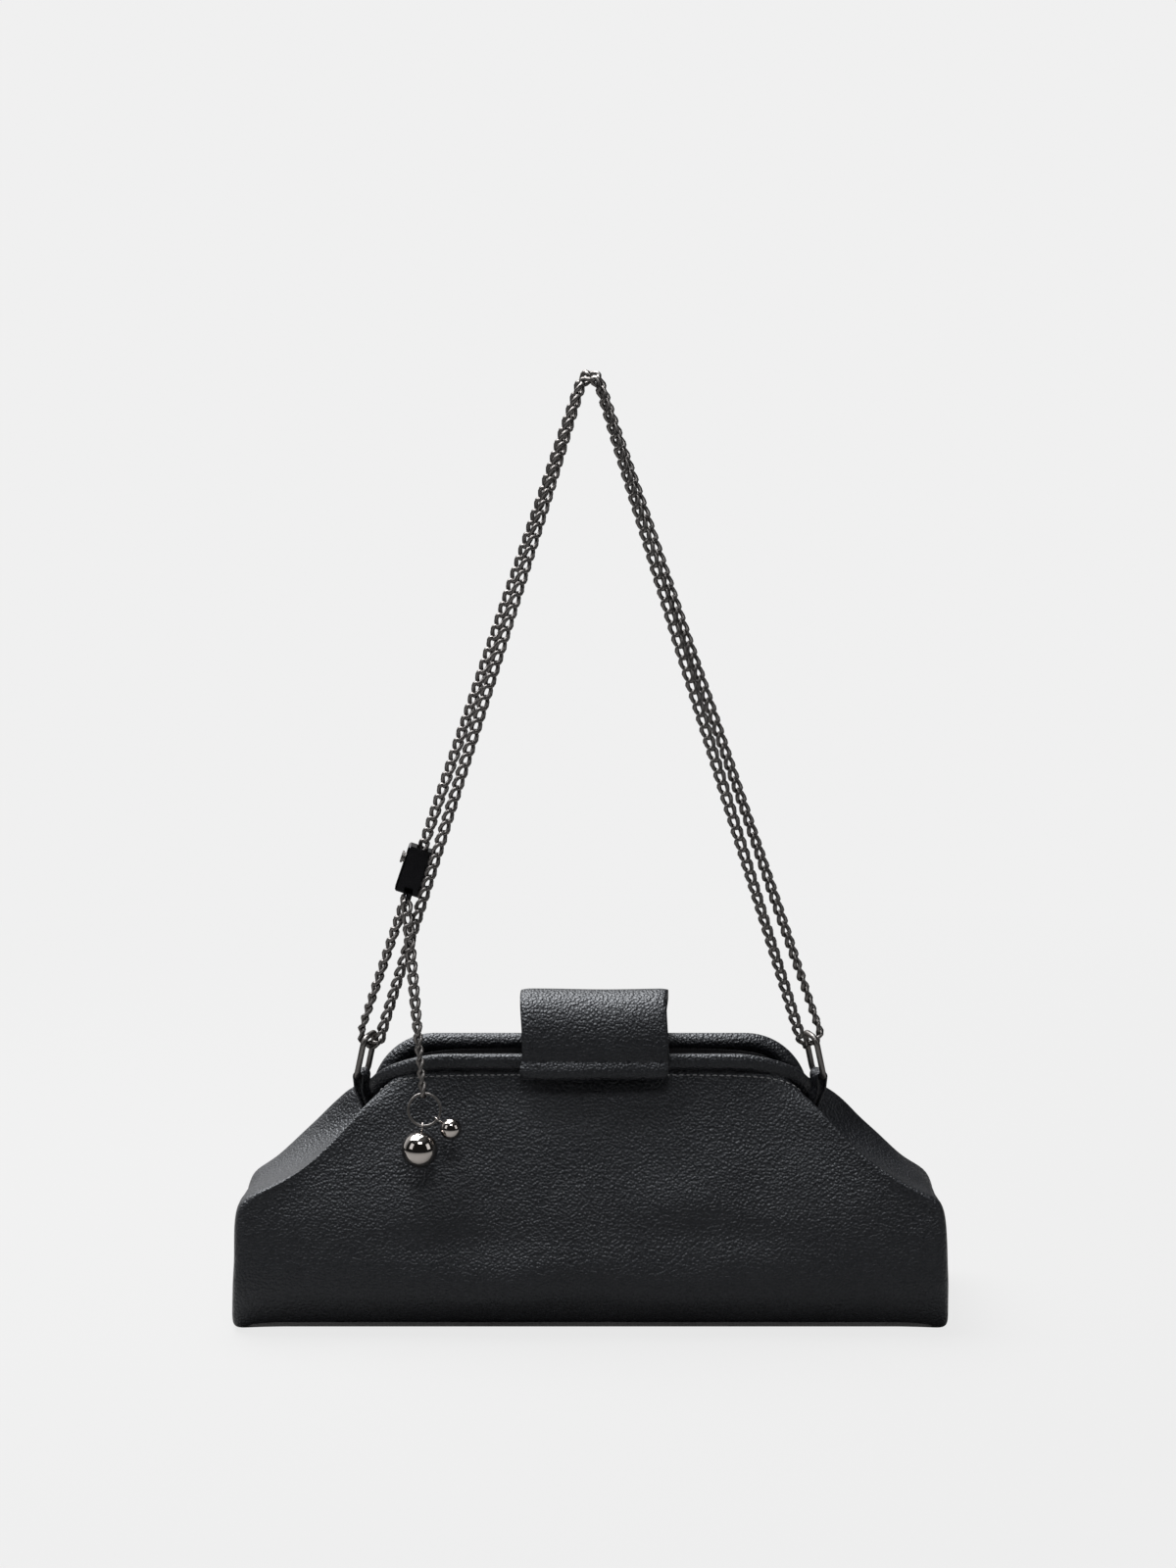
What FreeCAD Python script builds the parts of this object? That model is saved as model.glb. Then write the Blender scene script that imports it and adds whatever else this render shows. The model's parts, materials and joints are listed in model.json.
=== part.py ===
import FreeCAD, Part
import math
import os

# Frame clutch with a doubled chain strap, in millimetres.
# X runs along the bag, Y from its front to its back, Z up; the origin is under the middle of the base.

# Leather pouch: four rounded sections, from the base up to the throat under the frame
base_width = 330.0
base_depth = 90.0
base_fold = 2.0
base_corner = 9.0
belly_height = 26.0
belly_draw = 2.0
belly_swell = 7.0
belly_fold = 4.0
belly_corner = 13.0
shoulder_height = 60.0
shoulder_draw = 10.0
shoulder_taper = 9.0
shoulder_fold = 9.0
shoulder_corner = 13.0
throat_height = 100.0
throat_side_margin = 7.0
throat_depth = 40.0
throat_fold = 12.0
throat_corner = 6.0
leather = 1.8
seam_inset = 3.0

# Inside of the pouch
board_thickness = 2.0
board_clearance = 1.0
lining_wall = 0.8
lining_clearance = 0.3

# Hinged mouth frame: two steel hoops on one pin line, each in a leather cover
pivot_rise = 7.0
hoop_half_width = 98.0
hoop_rise = 24.0
hoop_corner = 19.5
hoop_band = 6.0
hoop_thickness = 3.0
hoop_foot_rise = 3.6
closing_gap = 1.2
front_tilt = 37.0
back_tilt = 6.0
cover_wall = 1.6
cover_clearance = 0.1
cover_foot_rise = 0.6
lug_thickness = 2.4
lug_radius = 3.2
pin_radius = 1.5
pin_clearance = 0.05
pin_head_radius = 2.6
pin_head = 1.0
pin_head_gap = 0.1

# Leather yokes that join the panels to the frame covers
yoke_side_margin = 2.0
yoke_upper_inset = 16.0
seat_gap = 0.3

# Closing flap with its hidden magnets
flap_width = 68.0
flap_shift = 2.0
flap_crown = 23.0
flap_hem_drop = 18.0
flap_outer_wall = 1.6
flap_inner_wall = 1.4
flap_layer_gap = 0.1
flap_rest_gap = 0.5
anchor_hem_drop = 14.0
flap_hinge_rise = 3.0
flap_hinge_offset = 0.3
flap_hinge_gap = 0.4
magnet_length = 26.0
magnet_height = 7.0
magnet_thickness = 1.1
magnet_clearance = 0.1
magnet_skin = 0.4

# Strap rings in their leather loops
ring_side_gap = 9.0
ring_rise = 10.5
ring_wire = 2.8
ring_inner_width = 9.0
ring_inner_height = 18.4
ring_corner = 3.6
ring_lean = 13.0
ring_turn = 23.0
loop_width = 4.6
loop_wall = 1.6
loop_clearance = 0.2
loop_tongue = 30.0

# Chain strap: one closed run of links, doubled over the hanging point
strap_lean = 5.0
strap_height = 329.5
hang_radius = 4.5
hang_spread = 16.0
turn_radius = 5.3
link_pitch = 5.6
link_width = 5.6
link_wire = 1.2
link_flat = 3.4
link_slack = 0.3
link_roll = 45.0
twist_length = 55.0

# Stopper that slides on the strap, with its push button
stopper_width = 12.6
stopper_length = 22.5
stopper_edge = 0.7
stopper_front_wall = 1.0
stopper_back_wall = 2.0
channel_clearance = 0.35
stopper_seat = 83.0
button_height = 4.5
button_radius = 2.2
button_clearance = 0.05
button_cap_radius = 2.8
button_cap = 0.9
button_cap_gap = 0.9
button_bore = 2.7
button_stem = 1.5
spring_wall = 0.5
spring_clearance = 0.1
bail_radius = 1.9
bail_wire = 1.0
bail_reach = 5.4
bail_drop = 0.6
bail_seat = 0.75
bail_tongue_width = 4.0
bail_tongue_height = 2.0

# Tail of the chain with its charm ring and two hollow balls
tail_inset = 30.0
tail_room = 7.9375
tail_rise = 14.0
charm_ring_radius = 7.4
charm_ring_wire = 1.3
charm_clearance = 0.7
large_ball_radius = 8.4
small_ball_radius = 5.0
ball_wall = 1.0
large_ball_angle = 102.0
small_ball_angle = 41.0
eye_radius = 1.9
eye_wire = 0.9
eye_clearance = 0.2
eye_sink = 0.3

# Room that cuts run past a face
overrun = 5.0

X_AXIS = FreeCAD.Vector(1, 0, 0)
Y_AXIS = FreeCAD.Vector(0, 1, 0)
Z_AXIS = FreeCAD.Vector(0, 0, 1)
ORIGIN = FreeCAD.Vector(0, 0, 0)

# Sizes that follow from the ones above
throat_width = 2 * (hoop_half_width + throat_side_margin)
pivot_height = throat_height + pivot_rise
hoop_top = pivot_height + hoop_rise
flap_top = hoop_top + flap_crown
flap_hem = hoop_top - flap_hem_drop
anchor_hem = hoop_top - anchor_hem_drop
flap_hinge_height = hoop_top + flap_hinge_rise
ring_half_span = hoop_half_width + ring_side_gap
ring_height = throat_height + ring_rise
hang_height = ring_height + strap_height
tail_end_x = tail_inset - ring_half_span
panel_lean = (base_depth - shoulder_taper - throat_depth) / 2 / (throat_height - shoulder_height)
ball_drop = 2 * (charm_ring_radius + eye_radius) + large_ball_radius - tail_rise
tail_end_y = -throat_depth / 2 - ball_drop * panel_lean - tail_room
tail_end_z = throat_height + tail_rise

pouch_rows = (
    (0.0, base_width, base_depth, base_fold, base_corner),
    (belly_height, base_width - belly_draw, base_depth + belly_swell, belly_fold, belly_corner),
    (shoulder_height, base_width - shoulder_draw, base_depth - shoulder_taper, shoulder_fold, shoulder_corner),
    (throat_height, throat_width, throat_depth, throat_fold, throat_corner),
)


def vec(x, y, z):
    """A point or direction."""
    return FreeCAD.Vector(x, y, z)


def save(name, shape):
    """Write one node's solids to its own file."""
    shape.exportStep("parts/" + name + ".step")


def rounded_wire(points, radii):
    """Closed flat wire through the points, each corner rounded by its radius, zero for a sharp one."""
    corners = []
    for index, corner in enumerate(points):
        radius = radii[index]
        before = (points[index - 1] - corner).normalize()
        after = (points[(index + 1) % len(points)] - corner).normalize()
        half_angle = before.getAngle(after) / 2
        reach = radius / math.tan(half_angle)
        middle = corner
        if radius:
            middle = corner + (before + after).normalize() * (radius / math.sin(half_angle) - radius)
        corners.append((corner + before * reach, middle, corner + after * reach, radius))
    edges = []
    for index, (entry, middle, leave, radius) in enumerate(corners):
        if radius:
            edges.append(Part.Arc(entry, middle, leave).toShape())
        following = corners[(index + 1) % len(corners)][0]
        edges.append(Part.LineSegment(leave, following).toShape())
    return Part.Wire(edges)


def box_between(low, high):
    """Box from its lowest to its highest corner."""
    size = high - low
    return Part.makeBox(size.x, size.y, size.z, low)


def mirrored(shape):
    """The shape's twin on the other end of the bag."""
    return shape.mirror(ORIGIN, X_AXIS)


def turned_point(y, rise, tilt):
    """Where a point of an upright hoop goes when the hoop is tilted forward about the pin line."""
    angle = math.radians(tilt)
    turned_y = y * math.cos(angle) - rise * math.sin(angle)
    turned_z = pivot_height + y * math.sin(angle) + rise * math.cos(angle)
    return turned_y, turned_z


# Pouch

def pouch_wire(row, grow, height):
    """One section of the pouch, grown outwards; its ends fold in towards the middle."""
    width, depth, fold, corner = row[1:]
    half_width = width / 2 + grow
    half_depth = depth / 2 + grow
    radius = corner + grow
    points = [
        vec(-half_width, -half_depth, height),
        vec(half_width, -half_depth, height),
        vec(half_width - fold, 0, height),
        vec(half_width, half_depth, height),
        vec(-half_width, half_depth, height),
        vec(-half_width + fold, 0, height),
    ]
    return rounded_wire(points, (radius, radius, 0, radius, radius, 0))


def pouch_solid(grow, bottom, top):
    """The pouch's filled form, grown outwards, from one height to another."""
    first = pouch_wire(pouch_rows[0], grow, bottom)
    wires = [first] + [pouch_wire(row, grow, row[0]) for row in pouch_rows[1:]]
    if top > throat_height:
        wires.append(pouch_wire(pouch_rows[-1], grow, top))
    return Part.makeLoft(wires, True, True)


def end_prism():
    """Region past the seam of the right-hand gusset."""
    seam = []
    for height, width, depth, fold, corner in pouch_rows:
        wrap = max(corner, fold + 2 * leather)
        seam.append(vec(width / 2 - wrap - seam_inset, -base_width, height))
    outer = [
        vec(base_width, -base_width, throat_height + overrun),
        vec(base_width, -base_width, -overrun),
    ]
    top = vec(seam[-1].x, -base_width, throat_height + overrun)
    bottom = vec(seam[0].x, -base_width, -overrun)
    profile = Part.makePolygon([bottom] + seam + [top] + outer + [bottom])
    return Part.Face(profile).extrude(Y_AXIS * (2 * base_width))


def make_pouch():
    """Front, back and base panels and the two folded end gussets."""
    outer = pouch_solid(0.0, 0.0, throat_height)
    inner = pouch_solid(-leather, leather, throat_height + overrun)
    shell = outer.cut(inner)
    floor_slab = box_between(vec(-base_width, -base_width, -overrun), vec(base_width, base_width, leather))
    walls = shell.cut(floor_slab)
    right_region = end_prism()
    left_region = mirrored(right_region)
    middle = walls.cut(right_region).cut(left_region)
    front, back = sorted(middle.Solids, key=lambda solid: solid.CenterOfMass.y)
    save("base_panel", shell.common(floor_slab))
    save("front_panel", front)
    save("back_panel", back)
    save("left_gusset", walls.common(left_region))
    save("right_gusset", walls.common(right_region))


def make_inside():
    """Base board on the base panel, and the lining bag over it."""
    board_wire = pouch_wire(pouch_rows[0], -leather - board_clearance, leather)
    save("base_board", Part.Face(board_wire).extrude(Z_AXIS * board_thickness))
    lining_bottom = leather + board_thickness + lining_clearance
    lining_inset = leather + lining_clearance
    outer = pouch_solid(-lining_inset, lining_bottom, throat_height)
    inner = pouch_solid(-lining_inset - lining_wall, lining_bottom + lining_wall, throat_height + overrun)
    save("lining", outer.cut(inner))


# Mouth frame

cover_growth = cover_wall + cover_clearance
cover_half_thickness = hoop_thickness / 2 + cover_growth
hoop_offset = cover_half_thickness + closing_gap / 2


def hoop_band_solid(grow, foot, y_low, y_high):
    """Upside-down U in the XZ plane, its band grown on both edges, between two Y values."""
    half_width = hoop_half_width + grow
    top = hoop_top + grow
    inner_half_width = hoop_half_width - hoop_band - grow
    inner_top = hoop_top - hoop_band - grow
    points = [
        vec(-half_width, y_low, foot),
        vec(-half_width, y_low, top),
        vec(half_width, y_low, top),
        vec(half_width, y_low, foot),
        vec(inner_half_width, y_low, foot),
        vec(inner_half_width, y_low, inner_top),
        vec(-inner_half_width, y_low, inner_top),
        vec(-inner_half_width, y_low, foot),
    ]
    outer_radius = hoop_corner + grow
    inner_radius = hoop_corner - hoop_band - grow
    radii = (0, outer_radius, outer_radius, 0, 0, inner_radius, inner_radius, 0)
    return Part.Face(rounded_wire(points, radii)).extrude(Y_AXIS * (y_high - y_low))


def lug(x_low, side):
    """Hinge lug at the foot of the right-hand leg, reaching in to the pin line."""
    foot = pivot_height + hoop_foot_rise
    outside = side * (hoop_offset + hoop_thickness / 2)
    plate = box_between(
        vec(x_low, min(outside, 0), pivot_height - lug_radius),
        vec(x_low + lug_thickness, max(outside, 0), pivot_height + lug_radius),
    )
    inside = side * (hoop_offset - hoop_thickness / 2)
    neck = box_between(
        vec(x_low, min(inside, outside), pivot_height),
        vec(x_low + lug_thickness, max(inside, outside), foot),
    )
    boss = Part.makeCylinder(lug_radius, lug_thickness, vec(x_low, 0, pivot_height), X_AXIS)
    hole_start = vec(x_low - overrun, 0, pivot_height)
    hole = Part.makeCylinder(pin_radius + pin_clearance, lug_thickness + 2 * overrun, hole_start, X_AXIS)
    return plate.fuse([neck, boss]).cut(hole)


def tilted(shape, tilt):
    """The shape turned forward about the pin line."""
    shape.rotate(vec(0, 0, pivot_height), X_AXIS, tilt)
    return shape


def make_hoop(name, side, lug_x, tilt):
    """One steel hoop with its two lugs, and its leather cover with any magnet pocket."""
    middle = side * hoop_offset
    y_low = middle - hoop_thickness / 2
    y_high = middle + hoop_thickness / 2
    right_lug = lug(lug_x, side)
    hoop = hoop_band_solid(0, pivot_height + hoop_foot_rise, y_low, y_high)
    hoop = hoop.fuse(right_lug).fuse(mirrored(right_lug))
    cover_foot = pivot_height + hoop_foot_rise + cover_foot_rise
    cover = hoop_band_solid(cover_growth, cover_foot, middle - cover_half_thickness, middle + cover_half_thickness)
    room = hoop_band_solid(
        cover_clearance, cover_foot - overrun, y_low - cover_clearance, y_high + cover_clearance
    )
    cover = cover.cut(room)
    if side < 0:
        cover = cover.cut(front_magnet_block(magnet_clearance))
        save("front_magnet", tilted(front_magnet_block(0), tilt))
    save(name + "_frame_bar", tilted(hoop, tilt))
    save(name + "_frame_cover", tilted(cover, tilt))


def front_magnet_block(grow):
    """Magnet under the skin of the front cover's face, or its pocket when grown."""
    face_y = -hoop_offset - cover_half_thickness + magnet_skin
    centre_z = hoop_top - hoop_band / 2
    low = vec(flap_shift - magnet_length / 2 - grow, face_y, centre_z - magnet_height / 2 - grow)
    high_y = face_y + magnet_thickness + grow
    high = vec(flap_shift + magnet_length / 2 + grow, high_y, centre_z + magnet_height / 2 + grow)
    return box_between(low, high)


def make_pins():
    """Riveted hinge pins through both lugs at each end."""
    inner_face = hoop_half_width - hoop_band - pin_head_gap
    outer_face = hoop_half_width + pin_head_gap
    shank = Part.makeCylinder(pin_radius, outer_face - inner_face, vec(inner_face, 0, pivot_height), X_AXIS)
    inner_head = Part.makeCylinder(pin_head_radius, pin_head, vec(inner_face - pin_head, 0, pivot_height), X_AXIS)
    outer_head = Part.makeCylinder(pin_head_radius, pin_head, vec(outer_face, 0, pivot_height), X_AXIS)
    pin = shank.fuse([inner_head, outer_head]).removeSplitter()
    save("right_hinge_pin", pin)
    save("left_hinge_pin", mirrored(pin))


def make_yoke(name, side, tilt):
    """Leather between a panel's top edge and the underside of its frame cover."""
    inner_rise = hoop_rise - hoop_band - cover_growth
    upper_y, upper_z = turned_point(side * hoop_offset, inner_rise, tilt)
    lower_y = side * (throat_depth / 2 - leather / 2)
    lower = vec(0, lower_y, throat_height)
    upper = vec(0, upper_y, upper_z)
    along = (upper - lower).normalize()
    angle = math.radians(tilt)
    slant = along.getAngle(vec(0, -math.sin(angle), math.cos(angle)))
    lower = lower + along * (seat_gap + leather / 2)
    upper = upper - along * (seat_gap / math.cos(slant) + leather / 2 * math.tan(slant))
    lower_half_width = hoop_half_width + yoke_side_margin
    upper_half_width = hoop_half_width - hoop_corner - yoke_upper_inset + hoop_corner / 2
    normal = along.cross(X_AXIS)
    corners = [
        lower - X_AXIS * lower_half_width,
        lower + X_AXIS * lower_half_width,
        upper + X_AXIS * upper_half_width,
        upper - X_AXIS * upper_half_width,
    ]
    corners = [corner - normal * (leather / 2) for corner in corners]
    save(name, Part.Face(Part.makePolygon(corners + corners[:1])).extrude(normal * leather))


# Flap

flap_total = flap_outer_wall + flap_layer_gap + flap_inner_wall
front_reach_y = turned_point(-hoop_offset - cover_half_thickness, hoop_rise + cover_growth, front_tilt)[0]
back_reach_y = turned_point(hoop_offset + cover_half_thickness, hoop_rise + cover_growth, -back_tilt)[0]
flap_front_y = front_reach_y - flap_rest_gap
flap_back_y = back_reach_y + flap_rest_gap
flap_hinge_y = flap_back_y + flap_total + flap_hinge_offset


def arch_layer(inside, thickness, back_foot):
    """Layer of the arched flap, a distance outside its inner face, down to the hem and the back foot."""
    arch_radius = (flap_back_y - flap_front_y) / 2
    centre_y = (flap_back_y + flap_front_y) / 2
    centre_z = flap_top - flap_total - arch_radius
    inner = arch_radius + inside
    outer = inner + thickness
    x_low = flap_shift - flap_width / 2
    inner_arc = Part.Arc(
        vec(x_low, centre_y + inner, centre_z),
        vec(x_low, centre_y, centre_z + inner),
        vec(x_low, centre_y - inner, centre_z),
    )
    outer_arc = Part.Arc(
        vec(x_low, centre_y - outer, centre_z),
        vec(x_low, centre_y, centre_z + outer),
        vec(x_low, centre_y + outer, centre_z),
    )
    back_inner = vec(x_low, centre_y + inner, back_foot)
    back_outer = vec(x_low, centre_y + outer, back_foot)
    front_inner = vec(x_low, centre_y - inner, flap_hem)
    front_outer = vec(x_low, centre_y - outer, flap_hem)
    edges = [
        Part.LineSegment(back_inner, inner_arc.StartPoint).toShape(),
        inner_arc.toShape(),
        Part.LineSegment(inner_arc.EndPoint, front_inner).toShape(),
        Part.LineSegment(front_inner, front_outer).toShape(),
        Part.LineSegment(front_outer, outer_arc.StartPoint).toShape(),
        outer_arc.toShape(),
        Part.LineSegment(outer_arc.EndPoint, back_outer).toShape(),
        Part.LineSegment(back_outer, back_inner).toShape(),
    ]
    return Part.Face(Part.Wire(edges)).extrude(X_AXIS * flap_width)


def make_flap():
    """Two-layer leather flap with a magnet between the layers, and its stitched anchor behind."""
    back_foot = flap_hinge_height + flap_hinge_gap
    outer = arch_layer(flap_inner_wall + flap_layer_gap, flap_outer_wall, back_foot)
    inner = arch_layer(0, flap_inner_wall, back_foot)
    magnet_z = (flap_hem + hoop_top) / 2
    low = vec(flap_shift - magnet_length / 2, flap_front_y - flap_inner_wall, magnet_z - magnet_height / 2)
    magnet = Part.makeBox(magnet_length, magnet_thickness, magnet_height, low)
    pocket_growth = vec(magnet_clearance, magnet_clearance, magnet_clearance)
    pocket = box_between(
        low - pocket_growth, low + vec(magnet_length, magnet_thickness, magnet_height) + pocket_growth
    )
    save("flap_outer", outer)
    save("flap_lining", inner.cut(pocket))
    save("flap_magnet", magnet)
    anchor = box_between(
        vec(flap_shift - flap_width / 2, flap_back_y, anchor_hem),
        vec(flap_shift + flap_width / 2, flap_back_y + flap_total, flap_hinge_height - flap_hinge_gap),
    )
    save("flap_anchor", anchor)


# Rings and loops

ring_span_width = ring_inner_width + ring_wire
ring_span_height = ring_inner_height + ring_wire
ring_offset = ring_span_height * math.sin(math.radians(ring_lean))
ring_top_x = ring_half_span - ring_offset * math.cos(math.radians(ring_turn))
ring_top_y = -ring_offset * math.sin(math.radians(ring_turn))
ring_top_z = ring_height + ring_span_height * math.cos(math.radians(ring_lean))


def leaned(shape):
    """The shape leaned forward with the strap, about the line through both ring feet."""
    shape.rotate(vec(0, 0, ring_height), X_AXIS, strap_lean)
    return shape


def at_right_ring(shape):
    """A shape drawn about a ring's foot, turned and set at the right-hand ring's place."""
    shape.rotate(ORIGIN, Z_AXIS, ring_turn)
    shape.translate(vec(ring_half_span, 0, ring_height))
    return shape


def make_rings():
    """Rounded wire rings, and the leather loops that hold their feet to the gussets."""
    half = ring_span_width / 2
    points = [vec(0, -half, 0), vec(0, half, 0), vec(0, half, ring_span_height), vec(0, -half, ring_span_height)]
    path = rounded_wire(points, (ring_corner,) * len(points))
    start = vec(0, half, ring_span_height / 2)
    section = Part.Wire(Part.makeCircle(ring_wire / 2, start, Z_AXIS))
    ring = Part.Wire(path).makePipeShell([section], True, False)
    ring.rotate(ORIGIN, Y_AXIS, -ring_lean)
    ring = leaned(at_right_ring(ring))
    save("right_ring", ring)
    save("left_ring", mirrored(ring))

    bore = ring_wire / 2 + loop_clearance
    outside = bore + loop_wall
    tube = Part.makeCylinder(outside, loop_width, vec(0, -loop_width / 2, 0), Y_AXIS)
    tongue = box_between(vec(-outside, -loop_width / 2, -loop_tongue), vec(outside, loop_width / 2, 0))
    hole = Part.makeCylinder(bore, loop_width + 2 * overrun, vec(0, -loop_width / 2 - overrun, 0), Y_AXIS)
    loop = leaned(at_right_ring(tube.fuse(tongue).cut(hole)))
    loop = loop.cut(pouch_solid(seat_gap, 0.0, throat_height))
    loop = max(loop.Solids, key=lambda solid: solid.CenterOfMass.z)
    save("right_ring_loop", loop)
    save("left_ring_loop", mirrored(loop))


# Chain

link_length = link_pitch + 2 * link_wire + link_slack
chain_reach = (link_width + link_wire) / 2 * math.sin(math.radians(link_roll))


def link_outline(inset):
    """Six-sided outline of a link, moved inwards by a distance."""
    half_length = link_length / 2
    half_width = link_width / 2
    half_flat = link_flat / 2
    slope = (half_width - half_flat) / half_length
    crown = half_width - inset * math.hypot(1, slope)
    end = half_length - inset
    shoulder = crown - slope * end
    floor = -link_wire / 2
    points = [
        vec(end, shoulder, floor),
        vec(0, crown, floor),
        vec(-end, shoulder, floor),
        vec(-end, -shoulder, floor),
        vec(0, -crown, floor),
        vec(end, -shoulder, floor),
    ]
    return Part.makePolygon(points + points[:1])


def make_link():
    """One flat six-sided link about the origin, its length along X."""
    plate = Part.Face(link_outline(0)).extrude(Z_AXIS * link_wire)
    hole = Part.Face(link_outline(link_wire)).extrude(Z_AXIS * link_wire)
    return plate.cut(hole)


def placed_link(link, start, end, roll, across):
    """A copy of the link from one joint to the next, rolled about its own length."""
    along = (end - start).normalize()
    side = (across - along * across.dot(along)).normalize()
    turn = FreeCAD.Rotation(along, roll)
    width_axis = turn.multVec(side)
    copy = link.copy()
    frame = FreeCAD.Rotation(along, width_axis, along.cross(width_axis), "XYZ")
    copy.Placement = FreeCAD.Placement((start + end) * 0.5, frame)
    return copy


def turn_points(end_side):
    """Where the chain comes to a ring, passes under its head, and leaves it."""
    angle = math.radians(ring_turn)
    across = vec(end_side * math.cos(angle), math.sin(angle), 0) * turn_radius
    head = vec(end_side * ring_top_x, ring_top_y, ring_top_z)
    return head + across, head - Z_AXIS * turn_radius, head - across


def strap_wire():
    """Closed run of the chain: up and over twice, and round the head of each ring."""
    left_back, left_low, left_front = turn_points(-1)
    right_back, right_low, right_front = turn_points(1)
    hang_z = hang_height - hang_radius
    tops = {}
    for side, y in (("back", hang_spread / 2), ("front", -hang_spread / 2)):
        tops[side] = (vec(-hang_radius, y, hang_z), vec(0, y, hang_height), vec(hang_radius, y, hang_z))
    left_turn = Part.Arc(left_front, left_low, left_back)
    right_turn = Part.Arc(right_back, right_low, right_front)
    half_left = left_turn.parameter(left_low)
    edges = [
        left_turn.toShape(half_left, left_turn.LastParameter),
        Part.LineSegment(left_back, tops["back"][0]).toShape(),
        Part.Arc(*tops["back"]).toShape(),
        Part.LineSegment(tops["back"][2], right_back).toShape(),
        right_turn.toShape(),
        Part.LineSegment(right_front, tops["front"][2]).toShape(),
        Part.Arc(*reversed(tops["front"])).toShape(),
        Part.LineSegment(tops["front"][0], left_front).toShape(),
        left_turn.toShape(left_turn.FirstParameter, half_left),
    ]
    return Part.Wire(edges)


def link_twist(middle):
    """Width direction and roll of a link: square to each turn, rolled to the full angle between turns."""
    climb = hang_height - ring_top_z
    share = min(max((middle.z - ring_top_z) / climb, 0), 1)
    angle = math.radians(ring_turn)
    ring_axis = vec(-math.copysign(math.sin(angle), middle.x), math.cos(angle), 0)
    above_ring = min(share * climb / twist_length, 1)
    below_top = min((1 - share) * climb / twist_length, 1)
    across = ring_axis * (1 - above_ring) + Y_AXIS * above_ring
    return across, link_roll * min(above_ring, below_top)


def far_bar(first, last, way):
    """Middle of the end bar of the link between two joints, at its last joint or at its first."""
    along = (last - first).normalize()
    return (first + last) * 0.5 + along * (way * (link_length - link_wire) / 2)


def make_strap_chain():
    """The strap's links in four runs, from ring to hanging point on each side, behind and in front."""
    wire = strap_wire()
    count = 4 * round(wire.Length / link_pitch / 4)
    joints = wire.discretize(Number=count + 1)
    joints[-1] = joints[0]
    link = make_link()
    links = []
    for index in range(count):
        first, last = joints[index], joints[index + 1]
        across, roll = link_twist((first + last) * 0.5)
        if index % 2:
            first = far_bar(joints[index - 1], first, 1)
            last = far_bar(last, joints[(index + 2) % count], -1)
            roll = roll + 90
        links.append(leaned(placed_link(link, first, last, roll, across)))
    quarter = count // 4
    names = ("chain_left_back", "chain_right_back", "chain_right_front", "chain_left_front")
    for index, name in enumerate(names):
        save(name, Part.makeCompound(links[index * quarter:(index + 1) * quarter]))
    print("strap links", count, "run length", round(wire.Length, 1))


# Stopper, in its own frame: its channel along Z, its button on the face towards -X

channel_half = chain_reach + channel_clearance
stopper_front = channel_half + stopper_front_wall
stopper_back = channel_half + stopper_back_wall
bail_y = -stopper_front - bail_reach
bail_z = -stopper_length / 2 - bail_drop


def stopper_placement():
    """Where the stopper sits on the left back run of the strap."""
    left_back = turn_points(-1)[0]
    top = vec(-hang_radius, hang_spread / 2, hang_height - hang_radius)
    along = (top - left_back).normalize()
    front = (Y_AXIS - along * along.y).normalize()
    centre = left_back + along * stopper_seat
    placement = FreeCAD.Placement(centre, FreeCAD.Rotation(front.cross(along), front, along, "ZYX"))
    pivot = vec(0, 0, ring_height)
    lean = FreeCAD.Rotation(X_AXIS, strap_lean)
    return FreeCAD.Placement(pivot - lean.multVec(pivot), lean).multiply(placement)


def on_stopper(shape):
    """A shape drawn in the stopper's own frame, set in place on the strap."""
    shape.Placement = stopper_placement().multiply(shape.Placement)
    return shape


def make_stopper():
    """Stopper body with its chain channel and tail bail, and the sprung button in its side."""
    half_width = stopper_width / 2
    half_length = stopper_length / 2
    body = box_between(vec(-half_width, -stopper_front, -half_length), vec(half_width, stopper_back, half_length))
    body = body.makeChamfer(stopper_edge, body.Edges)
    channel = box_between(
        vec(-channel_half, -channel_half, -half_length - overrun),
        vec(channel_half, channel_half, half_length + overrun),
    )
    face = vec(-half_width, 0, button_height)
    bore = Part.makeCylinder(button_radius + button_clearance, button_bore + overrun, face - X_AXIS * overrun, X_AXIS)
    tongue = box_between(
        vec(-bail_tongue_width / 2, bail_y + bail_radius / 2, -half_length),
        vec(bail_tongue_width / 2, -channel_half - stopper_front_wall / 2, -half_length + bail_tongue_height),
    )
    level = stopper_placement().Rotation.inverted().multVec(X_AXIS)
    bail = Part.makeTorus(bail_radius, bail_wire / 2, vec(0, bail_y, bail_z), level)
    save("stopper_body", on_stopper(body.fuse([tongue, bail]).cut(channel).cut(bore)))

    cap_start = face - X_AXIS * (button_cap_gap + button_cap)
    cap = Part.makeCylinder(button_cap_radius, button_cap, cap_start, X_AXIS)
    stem = Part.makeCylinder(button_radius, button_cap_gap + button_stem, face - X_AXIS * button_cap_gap, X_AXIS)
    save("stopper_button", on_stopper(cap.fuse(stem).removeSplitter()))

    spring_start = face + X_AXIS * (button_stem + spring_clearance)
    spring_length = button_bore - button_stem - 2 * spring_clearance
    spring_radius = button_radius - spring_clearance
    spring = Part.makeCylinder(spring_radius, spring_length, spring_start, X_AXIS)
    spring = spring.cut(Part.makeCylinder(spring_radius - spring_wall, spring_length, spring_start, X_AXIS))
    save("button_spring", on_stopper(spring))


# Tail and charms

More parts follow.
